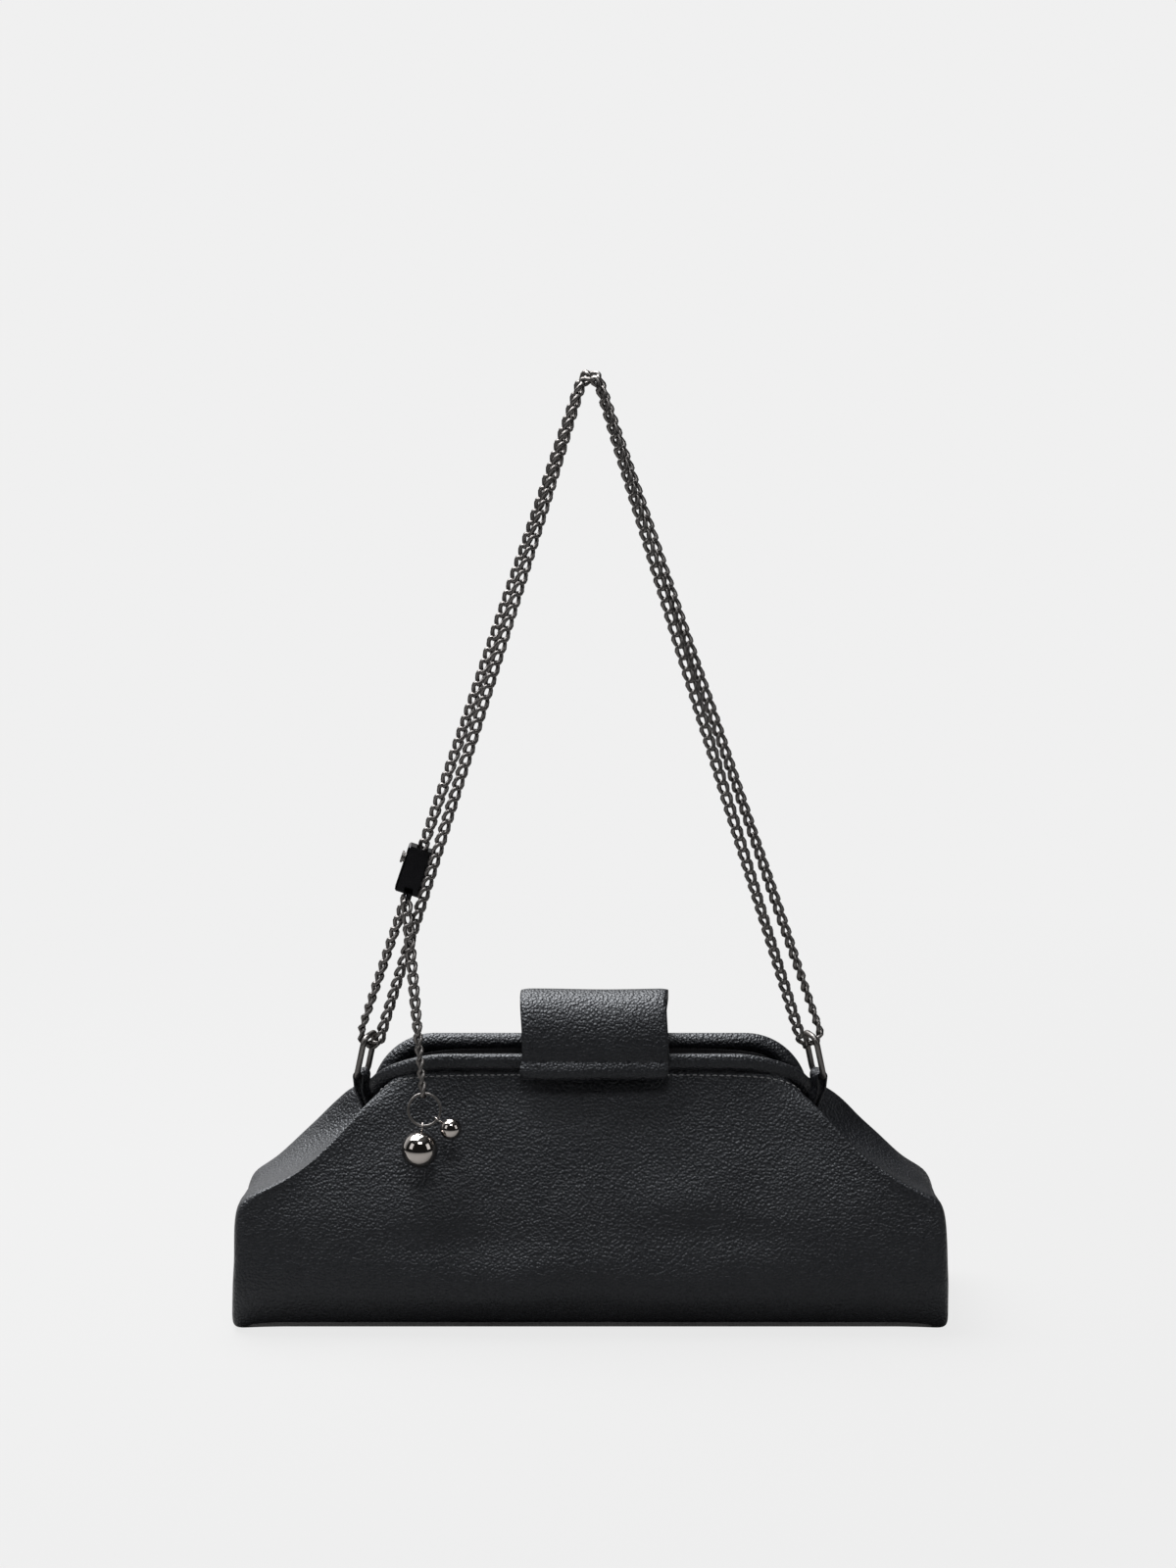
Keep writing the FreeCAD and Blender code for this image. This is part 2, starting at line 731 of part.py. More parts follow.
def tail_frame():
    """Start, end and direction of the tail's run of links, and how many links it has."""
    bail_eye = stopper_placement().multVec(vec(0, bail_y, bail_z))
    end = vec(tail_end_x, tail_end_y, tail_end_z)
    hang = vec(0, end.y - bail_eye.y, end.z - bail_eye.z).normalize()
    bail_low = bail_eye + hang * bail_radius
    along = (end - bail_low).normalize()
    start = bail_low - along * bail_seat
    count = 2 * round((end - start).Length / link_pitch / 2)
    return start, start + along * (count * link_pitch), along, count


def charm_point(angle):
    """Point of the charm ring's wire, an angle round from its right-hand side towards its foot."""
    start, end, along, count = tail_frame()
    centre = end + along * (charm_ring_radius + link_slack / 2 - charm_clearance - charm_ring_wire / 2)
    across = (X_AXIS - along * along.x).normalize()
    turn = math.radians(angle)
    outward = across * math.cos(turn) + along * math.sin(turn)
    return centre, centre + outward * charm_ring_radius, outward


def make_tail():
    """The hanging tail of links with the charm ring in its last link."""
    start, end, along, count = tail_frame()
    link = make_link()
    links = []
    for index in range(count):
        first = start + along * (index * link_pitch)
        roll = 90 if index % 2 else 0
        links.append(placed_link(link, first, first + along * link_pitch, roll, X_AXIS))
    save("chain_tail", Part.makeCompound(links))
    centre = charm_point(0)[0]
    normal = along.cross(X_AXIS)
    save("charm_ring", Part.makeTorus(charm_ring_radius, charm_ring_wire / 2, centre, normal))
    print("tail links", count)


def make_ball(name, radius, angle):
    """Hollow ball hanging from the charm ring by a soldered eye."""
    start, end, along, count = tail_frame()
    centre, wire_point, outward = charm_point(angle)
    hang = (eye_radius - eye_wire / 2) - charm_ring_wire / 2 - eye_clearance
    eye_centre = wire_point + outward * hang
    tangent = along.cross(X_AXIS).cross(outward)
    ball_centre = eye_centre + outward * (eye_radius + eye_wire / 2 - eye_sink + radius)
    ball = Part.makeSphere(radius, ball_centre).cut(Part.makeSphere(radius - ball_wall, ball_centre))
    eye = Part.makeTorus(eye_radius, eye_wire / 2, eye_centre, tangent)
    cavity = Part.makeSphere(radius - ball_wall / 2, ball_centre)
    save(name, ball.fuse(eye.cut(cavity)))


def main():
    """Build every piece and write it to its own file."""
    os.makedirs("parts", exist_ok=True)
    make_pouch()
    make_inside()
    make_hoop("front", -1, hoop_half_width - hoop_band, front_tilt)
    make_hoop("back", 1, hoop_half_width - lug_thickness, -back_tilt)
    make_pins()
    make_yoke("front_yoke", -1, front_tilt)
    make_yoke("back_yoke", 1, -back_tilt)
    make_flap()
    make_rings()
    make_strap_chain()
    make_stopper()
    make_tail()
    make_ball("large_ball", large_ball_radius, large_ball_angle)
    make_ball("small_ball", small_ball_radius, small_ball_angle)


main()
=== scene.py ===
"""Chain shoulder bag: leather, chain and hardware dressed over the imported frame."""
from __future__ import annotations

import json
import logging
import math
from dataclasses import dataclass, field
from enum import Enum
from typing import Any, Sequence

import bmesh
import bpy
import numpy as np
from mathutils import Matrix, Vector, noise

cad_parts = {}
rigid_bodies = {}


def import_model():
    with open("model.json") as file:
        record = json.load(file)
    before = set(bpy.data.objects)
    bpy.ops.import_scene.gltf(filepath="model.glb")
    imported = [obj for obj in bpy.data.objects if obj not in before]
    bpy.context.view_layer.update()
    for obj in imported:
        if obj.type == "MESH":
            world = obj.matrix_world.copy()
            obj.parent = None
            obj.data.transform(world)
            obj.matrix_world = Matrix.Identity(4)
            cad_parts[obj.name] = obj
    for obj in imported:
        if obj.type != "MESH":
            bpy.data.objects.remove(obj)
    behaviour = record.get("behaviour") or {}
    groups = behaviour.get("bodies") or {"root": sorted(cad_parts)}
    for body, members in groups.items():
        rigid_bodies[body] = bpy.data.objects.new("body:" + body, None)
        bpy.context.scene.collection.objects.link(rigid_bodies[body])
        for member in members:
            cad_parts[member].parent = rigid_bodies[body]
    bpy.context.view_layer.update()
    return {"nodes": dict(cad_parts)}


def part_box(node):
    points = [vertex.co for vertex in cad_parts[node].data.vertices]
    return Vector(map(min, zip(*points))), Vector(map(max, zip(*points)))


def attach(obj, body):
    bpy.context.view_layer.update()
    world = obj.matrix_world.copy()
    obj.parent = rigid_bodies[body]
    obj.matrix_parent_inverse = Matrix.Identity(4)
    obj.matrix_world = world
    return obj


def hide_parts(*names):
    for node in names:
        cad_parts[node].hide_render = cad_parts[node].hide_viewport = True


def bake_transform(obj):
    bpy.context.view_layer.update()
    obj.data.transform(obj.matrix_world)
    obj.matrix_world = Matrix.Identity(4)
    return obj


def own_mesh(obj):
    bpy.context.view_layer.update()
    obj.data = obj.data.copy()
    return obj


LOG = logging.getLogger("chain_bag")
MM = 0.001

Colour = tuple[float, float, float]
Point = tuple[float, float, float]
# Rows of points, and rows by columns of points
Points = np.ndarray
Grid = np.ndarray
Piece = bpy.types.Object
Material = bpy.types.Material
Node = bpy.types.Node
Socket = bpy.types.NodeSocket


class Body(Enum):
    """The moving bodies that pieces ride on."""

    BAG = "bag"
    FRONT_FRAME = "front_frame"
    FLAP = "flap"
    STRAP = "strap"
    STOPPER = "stopper"
    TAIL = "tail"
    CHARM = "charm"
    LARGE_BALL = "ball_large"
    SMALL_BALL = "ball_small"


class Slot(Enum):
    """The record's material slots."""

    LEATHER = "pebbled_leather"
    LINING = "lining_cloth"
    BOARD = "stiff_board"
    STEEL = "frame_steel"
    GUNMETAL = "gunmetal"
    BLACK_PLATE = "dark_gunmetal"
    MIRROR = "polished_gunmetal"


# Shader sheets

class Value:
    """A number socket that Python arithmetic works on."""

    def __init__(self, sheet: NodeSheet, socket: Socket) -> None:
        """Keep the sheet and the socket."""
        self.sheet = sheet
        self.socket = socket

    def _math(self, operation: str, first: Any, second: Any) -> Value:
        """The result of one Math node on two operands."""
        made = self.sheet.node("ShaderNodeMath", {"operation": operation}, {0: first, 1: second})
        return Value(self.sheet, made.outputs[0])

    def __add__(self, other: Any) -> Value:
        """Sum."""
        return self._math("ADD", self, other)

    def __radd__(self, other: Any) -> Value:
        """Sum, reflected."""
        return self._math("ADD", other, self)

    def __sub__(self, other: Any) -> Value:
        """Difference."""
        return self._math("SUBTRACT", self, other)

    def __rsub__(self, other: Any) -> Value:
        """Difference, reflected."""
        return self._math("SUBTRACT", other, self)

    def __mul__(self, other: Any) -> Value:
        """Product."""
        return self._math("MULTIPLY", self, other)

    def __rmul__(self, other: Any) -> Value:
        """Product, reflected."""
        return self._math("MULTIPLY", other, self)

    def __pow__(self, other: Any) -> Value:
        """Power."""
        return self._math("POWER", self, other)

    def __rpow__(self, other: Any) -> Value:
        """Power, reflected."""
        return self._math("POWER", other, self)

    def clamped(self) -> Value:
        """The value held between 0 and 1."""
        made = self.sheet.node("ShaderNodeClamp", {}, {"Value": self})
        return Value(self.sheet, made.outputs[0])


class NodeSheet:
    """A node tree that is filled through one node-making method."""

    def __init__(self, tree: bpy.types.NodeTree) -> None:
        """Empty the tree."""
        self.tree = tree
        tree.nodes.clear()

    def node(self, kind: str, settings: dict[str, Any], inputs: dict[Any, Any]) -> Node:
        """Add one node.

        Args:
            kind: The node's type name.
            settings: Its properties, set first.
            inputs: Values or links by socket name or number.

        Returns:
            The new node.
        """
        made = self.tree.nodes.new(kind)
        for name, setting in settings.items():
            setattr(made, name, setting)
        for key, given in inputs.items():
            source = given.socket if isinstance(given, Value) else given
            if isinstance(source, Socket):
                self.tree.links.new(source, made.inputs[key])
            else:
                made.inputs[key].default_value = given
        return made

    def value(self, made: Node, output: Any = 0) -> Value:
        """One output of a node as a value."""
        return Value(self, made.outputs[output])

    def colour_mix(self, share: Any, first: Any, second: Any) -> Socket:
        """A mix of two colours: the first at share 0, the second at share 1."""
        made = self.node("ShaderNodeMix", {"data_type": "RGBA"}, {0: share, 6: first, 7: second})
        return made.outputs[2]

    def object_place(self) -> Socket:
        """The point in the object's own coordinates."""
        return self.node("ShaderNodeTexCoord", {}, {}).outputs["Object"]

    def clouds(self, place: Any, scale: float, detail: float = 3.0) -> Value:
        """Noise from 0 to 1, its scale in cells a metre and its detail in octaves."""
        made = self.node("ShaderNodeTexNoise", {}, {"Vector": place, "Scale": scale, "Detail": detail})
        return self.value(made)

    def bump(self, strength: float, distance: float, height: Value) -> Socket:
        """Normals of a bumped surface, whose full bumps have the distance, in metres, as height."""
        inputs = {"Strength": strength, "Distance": distance, "Height": height}
        return self.node("ShaderNodeBump", {}, inputs).outputs[0]

    def surface(self, inputs: dict[str, Any]) -> None:
        """End the sheet with one surface shader that has these inputs."""
        made = self.node("ShaderNodeBsdfPrincipled", {}, inputs)
        self.node("ShaderNodeOutputMaterial", {}, {"Surface": made.outputs[0]})


def new_material(name: str, slot: Slot) -> tuple[Material, NodeSheet]:
    """Start a material.

    Args:
        name: The material's name.
        slot: The record's slot that it finishes.

    Returns:
        The material and its sheet.
    """
    material = bpy.data.materials.new(name)
    material.use_nodes = True
    material["slot"] = slot.value
    return material, NodeSheet(material.node_tree)


def rgba(colour: Colour) -> tuple[float, ...]:
    """The colour with full opacity."""
    return (*colour, 1.0)


@dataclass(frozen=True)
class LeatherFinish:
    """Pebbled leather: rounded grain cells, fine pores and slight dye changes."""

    name: str = "pebbled_leather"
    dye: Colour = (0.0038, 0.0042, 0.0056)
    worn: Colour = (0.0095, 0.01, 0.012)
    sheen: Colour = (0.9, 0.94, 1.0)
    specular: float = 0.45
    roughness: float = 0.36
    valley_matt: float = 0.16
    patch_matt: float = 0.14
    cells: float = 760.0
    cell_stir: float = 0.5 * MM
    cell_softness: float = 0.1
    cell_reach: float = 1.35
    pore_height: float = 0.04
    grain: float = 1.0
    grain_height: float = 0.32 * MM
    broad_scale: float = 60.0
    broad_low: float = 0.7
    broad_gain: float = 0.4
    pore_scale: float = 5.0
    patch_scale: float = 18.0
    patch_wear: float = 1.1
    pebble_wear: float = 0.35

    def pebble(self, sheet: NodeSheet, place: Socket) -> Value:
        """Domes of the grain, from 0 in the valleys to 1 on top.

        Args:
            sheet: The material's sheet.
            place: Coordinates.

        Returns:
            The domes' height.
        """
        warp_inputs = {"Vector": place, "Scale": self.cells * 0.5, "Detail": 2.0}
        warp = sheet.node("ShaderNodeTexNoise", {}, warp_inputs)
        stirred = sheet.node(
            "ShaderNodeVectorMath",
            {"operation": "MULTIPLY_ADD"},
            {0: warp.outputs["Color"], 1: (self.cell_stir,) * 3, 2: place},
        )
        cell = sheet.node(
            "ShaderNodeTexVoronoi",
            {"feature": "SMOOTH_F1"},
            {"Vector": stirred.outputs[0], "Scale": self.cells, "Smoothness": self.cell_softness},
        )
        return (1.0 - (sheet.value(cell, "Distance") * self.cell_reach) ** 2.0).clamped()

    def make(self) -> Material:
        """Build the material.

        Returns:
            The material.
        """
        material, sheet = new_material(self.name, Slot.LEATHER)
        place = sheet.object_place()
        pebble = self.pebble(sheet, place)
        broad = sheet.clouds(place, self.broad_scale)
        pores = sheet.clouds(place, self.cells * self.pore_scale)
        patch = sheet.clouds(place, self.patch_scale, 4.0) - 0.5
        height = pebble * (self.broad_low + broad * self.broad_gain) + pores * self.pore_height
        share = (pebble * self.pebble_wear + patch * self.patch_wear).clamped()
        sheet.surface(
            {
                "Base Color": sheet.colour_mix(share, rgba(self.dye), rgba(self.worn)),
                "Roughness": self.roughness + (1.0 - pebble) * self.valley_matt + patch * self.patch_matt,
                "Normal": sheet.bump(self.grain, self.grain_height, height),
                "Specular IOR Level": self.specular,
                "Specular Tint": rgba(self.sheen),
            }
        )
        return material


@dataclass(frozen=True)
class PlateFinish:
    """Plated metal: even plate with soft cloudiness and fine polishing marks."""

    name: str
    slot: Slot
    plate: Colour
    shade: Colour
    roughness: float
    marks: float = 0.05
    edge: Colour = (1.0, 1.0, 1.0)
    cloud_scale: float = 240.0
    cloud_matt: float = 0.7
    mark_scale: float = 2600.0
    mark_height: float = 0.1 * MM

    def make(self) -> Material:
        """Build the material.

        Returns:
            The material.
        """
        material, sheet = new_material(self.name, self.slot)
        place = sheet.object_place()
        cloud = sheet.clouds(place, self.cloud_scale, 4.0)
        fine = sheet.clouds(place, self.mark_scale, 2.0)
        cloudy = (cloud - 0.5) * self.roughness * self.cloud_matt
        rough = self.roughness + cloudy + (fine - 0.5) * self.marks
        sheet.surface(
            {
                "Base Color": sheet.colour_mix(cloud, rgba(self.shade), rgba(self.plate)),
                "Roughness": rough.clamped(),
                "Normal": sheet.bump(self.marks, self.mark_height, fine),
                "Metallic": 1.0,
                "Specular Tint": rgba(self.edge),
            }
        )
        return material


@dataclass(frozen=True)
class ClothFinish:
    """Woven lining or fibrous board: crossed threads with slubs."""

    name: str
    slot: Slot
    thread: Colour
    gap: Colour
    threads: float
    roughness: float = 0.8
    stray: float = 0.6
    weave_share: float = 0.8
    slub_share: float = 0.3
    slub_scale: float = 900.0
    slub_matt: float = 0.2
    relief: float = 0.35
    thread_height: float = 0.3 * MM

    def make(self) -> Material:
        """Build the material.

        Returns:
            The material.
        """
        material, sheet = new_material(self.name, self.slot)
        place = sheet.object_place()
        inputs = {"Vector": place, "Scale": self.threads, "Distortion": self.stray, "Detail": 1.0}
        warp = sheet.node("ShaderNodeTexWave", {"bands_direction": "X"}, inputs)
        weft = sheet.node("ShaderNodeTexWave", {"bands_direction": "Z"}, inputs)
        weave = sheet.value(warp, 1) * 0.5 + sheet.value(weft, 1) * 0.5
        slub = sheet.clouds(place, self.slub_scale)
        share = (weave * self.weave_share + slub * self.slub_share).clamped()
        sheet.surface(
            {
                "Base Color": sheet.colour_mix(share, rgba(self.gap), rgba(self.thread)),
                "Roughness": self.roughness + (slub - 0.5) * self.slub_matt,
                "Normal": sheet.bump(self.relief, self.thread_height, weave),
            }
        )
        return material


FINISHES = {
    "leather": LeatherFinish(),
    "thread": ClothFinish(
        "waxed_thread", Slot.LEATHER, (0.26, 0.262, 0.27), (0.14, 0.141, 0.145), 900.0, 0.5
    ),
    "lining": ClothFinish("lining_cloth", Slot.LINING, (0.055, 0.055, 0.06), (0.02, 0.02, 0.022), 420.0),
    "board": ClothFinish("stiff_board", Slot.BOARD, (0.1, 0.1, 0.1), (0.07, 0.07, 0.07), 200.0, 0.9),
    "steel": PlateFinish("frame_steel", Slot.STEEL, (0.42, 0.42, 0.43), (0.34, 0.34, 0.35), 0.35),
    "gunmetal": PlateFinish(
        "gunmetal", Slot.GUNMETAL, (0.21, 0.2, 0.195), (0.115, 0.11, 0.108), 0.38, 0.05, (0.3, 0.29, 0.28)
    ),
    "black_plate": PlateFinish(
        "black_plate", Slot.BLACK_PLATE, (0.03, 0.03, 0.033), (0.015, 0.015, 0.017), 0.2
    ),
    "mirror": PlateFinish(
        "mirror_gunmetal", Slot.MIRROR, (0.43, 0.40, 0.38), (0.36, 0.335, 0.32), 0.07, 0.01
    ),
}


@dataclass
class Finishes:
    """Every finish of the bag, made once."""

    leather: Material = field(init=False)
    thread: Material = field(init=False)
    lining: Material = field(init=False)
    board: Material = field(init=False)
    steel: Material = field(init=False)
    gunmetal: Material = field(init=False)
    black_plate: Material = field(init=False)
    mirror: Material = field(init=False)

    def __post_init__(self) -> None:
        """Make the materials."""
        for name, finish in FINISHES.items():
            setattr(self, name, finish.make())


# Mesh helpers

def scene_object(name: str, data: Any) -> Piece:
    """New object at the origin, linked to the scene.

    Args:
        name: The object's name.
        data: Its mesh, lamp or camera.

    Returns:
        The new object.
    """
    made = bpy.data.objects.new(name, data)
    bpy.context.scene.collection.objects.link(made)
    return made


def point_list(points: Points) -> list[Point]:
    """Rows of an array as plain points."""
    return [tuple(map(float, point)) for point in points]


def full_turn(steps: int) -> np.ndarray:
    """Even angles round a circle, from 0 up to a full turn."""
    return np.linspace(0, 2 * math.pi, steps, endpoint=False)


def circle(centre: np.ndarray, radius: float, first: np.ndarray, second: np.ndarray, steps: int) -> Points:
    """Even points of a circle.

    Args:
        centre: Its middle.
        radius: Its radius.
        first: Unit direction to its first point.
        second: Unit direction to the point a quarter turn on.
        steps: How many points.

    Returns:
        The points.
    """
    turn = full_turn(steps)
    return centre + radius * (np.outer(np.cos(turn), first) + np.outer(np.sin(turn), second))


def powered(part: np.ndarray, power: float) -> np.ndarray:
    """A power of each number's size, with the number's sign."""
    return np.sign(part) * np.abs(part) ** power


def bell(value: np.ndarray, reach: float) -> np.ndarray:
    """Bell curve: 1 at zero, falling to nothing beyond its reach."""
    return np.exp(-((value / reach) ** 2))


def mesh_object(name: str, points: Points, faces: Sequence[Sequence[int]]) -> Piece:
    """Smooth mesh object at the origin, with coinciding points merged.

    Args:
        name: The piece's name.
        points: Vertices in metres.
        faces: Vertex numbers of each face.

    Returns:
        The new object.
    """
    mesh = bpy.data.meshes.new(name)
    mesh.from_pydata(point_list(points), [], faces)
    work = bmesh.new()
    work.from_mesh(mesh)
    bmesh.ops.remove_doubles(work, verts=work.verts, dist=2e-6)
    bmesh.ops.recalc_face_normals(work, faces=work.faces)
    work.to_mesh(mesh)
    work.free()
    mesh.shade_smooth()
    return scene_object(name, mesh)


def grid_normals(grid: Grid, closed: bool) -> Grid:
    """Unit normals of a grid of points.

    Args:
        grid: Points as rows by columns.
        closed: Whether the columns close on themselves.

    Returns:
        Normals of the same shape.
    """
    along = np.gradient(grid, axis=0)
    if closed:
        around = (np.roll(grid, -1, axis=1) - np.roll(grid, 1, axis=1)) / 2
    else:
        around = np.gradient(grid, axis=1)
    normal = np.cross(around, along)
    length = np.linalg.norm(normal, axis=2, keepdims=True)
    return normal / np.maximum(length, 1e-12)


def sheet_faces(rows: int, columns: int, closed: bool) -> list[tuple[int, ...]]:
    """Faces of a sheet with two skins, numbered outer skin first, and its rims.

    Args:
        rows: Rows of points.
        columns: Columns of points.
        closed: Whether the columns close on themselves.

    Returns:
        The faces.
    """
    faces: list[tuple[int, ...]] = []
    back = rows * columns
    spans = columns if closed else columns - 1

    def at(row: int, column: int) -> int:
        """Number of a point of the outer skin."""
        return row * columns + column % columns

    for row in range(rows - 1):
        for column in range(spans):
            corners = (at(row, column), at(row, column + 1), at(row + 1, column + 1), at(row + 1, column))
            faces.append(corners)
            faces.append(tuple(back + corner for corner in reversed(corners)))
    for column in range(spans):
        for row in (0, rows - 1):
            first, last = at(row, column), at(row, column + 1)
            faces.append((first, last, back + last, back + first))
    if not closed:
        for row in range(rows - 1):
            for column in (0, columns - 1):
                first, last = at(row, column), at(row + 1, column)
                faces.append((first, last, back + last, back + first))
    return faces


def thick_sheet(name: str, outer: Grid, inner: Grid, closed: bool) -> Piece:
    """Sheet with two skins and closed rims.

    Args:
        name: The piece's name.
        outer: Outer skin's points.
        inner: Inner skin's points.
        closed: Whether the columns close on themselves.

    Returns:
        The new object.
    """
    rows, columns = outer.shape[:2]
    points = np.concatenate([outer.reshape(-1, 3), inner.reshape(-1, 3)])
    return mesh_object(name, points, sheet_faces(rows, columns, closed))


def sweep(name: str, path: Points, section: Points, plane: np.ndarray, closed: bool) -> Piece:
    """Tube along a flat path.

    Args:
        name: The piece's name.
        path: Points of the path.
        section: Section's points as (in the path's plane, across it).
        plane: Unit normal of the path's plane.
        closed: Whether the path closes on itself; else its ends are capped.

    Returns:
        The new object.
    """
    if closed:
        run = np.roll(path, -1, axis=0) - np.roll(path, 1, axis=0)
    else:
        run = np.gradient(path, axis=0)
    run /= np.linalg.norm(run, axis=1, keepdims=True)
    side = np.cross(plane, run)
    rings = path[:, None, :] + side[:, None, :] * section[None, :, :1]
    rings = rings + plane[None, None, :] * section[None, :, 1:]
    count, sides = rings.shape[:2]
    faces: list[tuple[int, ...]] = []
    for row in range(count if closed else count - 1):
        start = row * sides
        following = (row + 1) % count * sides
        for column in range(sides):
            after = (column + 1) % sides
            faces.append((start + column, start + after, following + after, following + column))
    if not closed:
        faces.append(tuple(range(sides)))
        faces.append(tuple((count - 1) * sides + column for column in range(sides)))
    return mesh_object(name, rings.reshape(-1, 3), faces)


def rounded_section(height: float, width: float, sides: int, power: float = 2.0) -> Points:
    """Rounded section between an ellipse and a rectangle.

    Args:
        height: Full size in the path's plane.
        width: Full size across the plane.
        sides: How many points.
        power: 2 for an ellipse, more for squarer corners.

    Returns:
        The section's points.
    """
    turn = full_turn(sides)
    first = powered(np.cos(turn), 2 / power) * height / 2
    second = powered(np.sin(turn), 2 / power) * width / 2
    return np.stack([first, second], axis=1)


def spline_weights(count: int, samples: int, closed: bool) -> np.ndarray:
    """Weights of a cubic B-spline on its control points.

    Args:
        count: Control points.
        samples: Sampled points.
        closed: Whether the spline closes on itself; else it runs from its first point to its last.

    Returns:
        One row of weights for each sample.
    """
    weights = np.zeros((samples, count))
    spans = count if closed else count + 1
    for sample in range(samples):
        place = sample * spans / samples if closed else sample * (spans - 1e-9) / (samples - 1)
        span = int(place)
        part = place - span
        basis = (
            (1 - part) ** 3 / 6,
            (3 * part**3 - 6 * part**2 + 4) / 6,
            (-3 * part**3 + 3 * part**2 + 3 * part + 1) / 6,
            part**3 / 6,
        )
        for step, weight in enumerate(basis):
            if closed:
                weights[sample, (span + step - 1) % count] += weight
            else:
                weights[sample, min(max(span + step - 2, 0), count - 1)] += weight
    return weights


def turned(points: Points, axis: str, degrees: float, centre: Sequence[float] = (0, 0, 0)) -> Points:
    """Points turned about an axis through a centre.

    Args:
        points: Points in the last axis of the array.
        axis: "X", "Y" or "Z".
        degrees: The turn.
        centre: A point of the axis.

    Returns:
        The turned points.
    """
    matrix = np.array(Matrix.Rotation(math.radians(degrees), 3, axis))
    middle = np.array(centre)
    return (points - middle) @ matrix.T + middle


def dress(piece: Piece, material: Material, *nodes: str) -> Piece:
    """Give a piece its finish and hide the nodes that it stands for.

    Args:
        piece: The piece.
        material: Its finish.
        nodes: The nodes it replaces.

    Returns:
        The piece.
    """
    if not piece.data.materials:
        piece.data.materials.append(material)
    if nodes:
        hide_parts(*nodes)
    LOG.info("%s: %d faces", piece.name, len(piece.data.polygons))
    return piece


# Geometry Nodes

class NodesRecipe:
    """A Geometry Nodes tree built in code and baked to a plain mesh."""

    def __init__(self, name: str) -> None:
        """Start the tree with a geometry input and output.

        Args:
            name: The tree's name.
        """
        self.tree = bpy.data.node_groups.new(name, "GeometryNodeTree")
        self.sheet = NodeSheet(self.tree)
        self.ids: dict[str, str] = {}
        self.add_input("Geometry", "NodeSocketGeometry")
        self.tree.interface.new_socket("Geometry", in_out="OUTPUT", socket_type="NodeSocketGeometry")

    def add_input(self, name: str, kind: str) -> None:
        """Add a named input to the tree."""
        socket = self.tree.interface.new_socket(name, in_out="INPUT", socket_type=kind)
        self.ids[name] = socket.identifier

    def end(self, placing: dict[str, Any], material: Socket) -> None:
        """Close the tree with real instances and their material.

        Args:
            placing: Inputs of the node that sets the instances on points.
            material: The instances' material.
        """
        placed = self.sheet.node("GeometryNodeInstanceOnPoints", {}, placing)
        real = self.sheet.node("GeometryNodeRealizeInstances", {}, {0: placed.outputs[0]})
        smooth = self.sheet.node("GeometryNodeSetShadeSmooth", {}, {0: real.outputs[0]})
        paint = {0: smooth.outputs[0], "Material": material}
        painted = self.sheet.node("GeometryNodeSetMaterial", {}, paint)
        self.sheet.node("NodeGroupOutput", {}, {0: painted.outputs[0]})

    def bake(self, name: str, seed_mesh: bpy.types.Mesh, values: dict[str, Any]) -> Piece:
        """Run the tree on a mesh and keep the result.

        Args:
            name: The piece's name.
            seed_mesh: The mesh the tree starts from.
            values: Values of the named inputs.

        Returns:
            A plain mesh object.
        """
        carrier = scene_object(name + "_seed", seed_mesh)
        modifier = carrier.modifiers.new(name, "NODES")
        modifier.node_group = self.tree
        for key, given in values.items():
            modifier[self.ids[key]] = given
        graph = bpy.context.evaluated_depsgraph_get()
        mesh = bpy.data.meshes.new_from_object(carrier.evaluated_get(graph), depsgraph=graph)
        mesh.name = name
        carrier.modifiers.remove(modifier)
        bpy.data.objects.remove(carrier)
        return scene_object(name, mesh)


def link_recipe() -> NodesRecipe:
    """Tree that sets one link on every point of a run, turned by the point's own angles.

    Returns:
        The tree's recipe.
    """
    recipe = NodesRecipe("links_on_run")
    recipe.add_input("Link", "NodeSocketObject")
    recipe.add_input("Finish", "NodeSocketMaterial")
    sheet = recipe.sheet
    given = sheet.node("NodeGroupInput", {}, {})
    source = {"Object": given.outputs["Link"], "As Instance": True}
    shape = sheet.node("GeometryNodeObjectInfo", {}, source)
    angles = sheet.node("GeometryNodeInputNamedAttribute", {"data_type": "FLOAT_VECTOR"}, {"Name": "turn"})
    rotation = sheet.node("FunctionNodeEulerToRotation", {}, {0: angles.outputs[0]})
    placing = {
        "Points": given.outputs["Geometry"],
        "Instance": shape.outputs["Geometry"],
        "Rotation": rotation.outputs[0],
    }
    recipe.end(placing, given.outputs["Finish"])
    return recipe


def stitch_recipe() -> NodesRecipe:
    """Tree that lays short threads end to end along a seam line.

    Returns:
        The tree's recipe.
    """
    recipe = NodesRecipe("stitches_on_seam")
    recipe.add_input("Pitch", "NodeSocketFloat")
    recipe.add_input("Thread", "NodeSocketVector")
    recipe.add_input("Finish", "NodeSocketMaterial")
    sheet = recipe.sheet
    given = sheet.node("NodeGroupInput", {}, {})
    curve = sheet.node("GeometryNodeMeshToCurve", {}, {0: given.outputs["Geometry"]})
    spacing = {"Curve": curve.outputs[0], "Length": given.outputs["Pitch"]}
    points = sheet.node("GeometryNodeCurveToPoints", {"mode": "LENGTH"}, spacing)
    thread = sheet.node("GeometryNodeMeshUVSphere", {}, {"Segments": 6, "Rings": 4, "Radius": 0.5})
    way = {"Vector": points.outputs["Tangent"]}
    turn = sheet.node("FunctionNodeAlignRotationToVector", {"axis": "X"}, way)
    placing = {
        "Points": points.outputs[0],
        "Instance": thread.outputs[0],
        "Rotation": turn.outputs[0],
        "Scale": given.outputs["Thread"],
    }
    recipe.end(placing, given.outputs["Finish"])
    return recipe


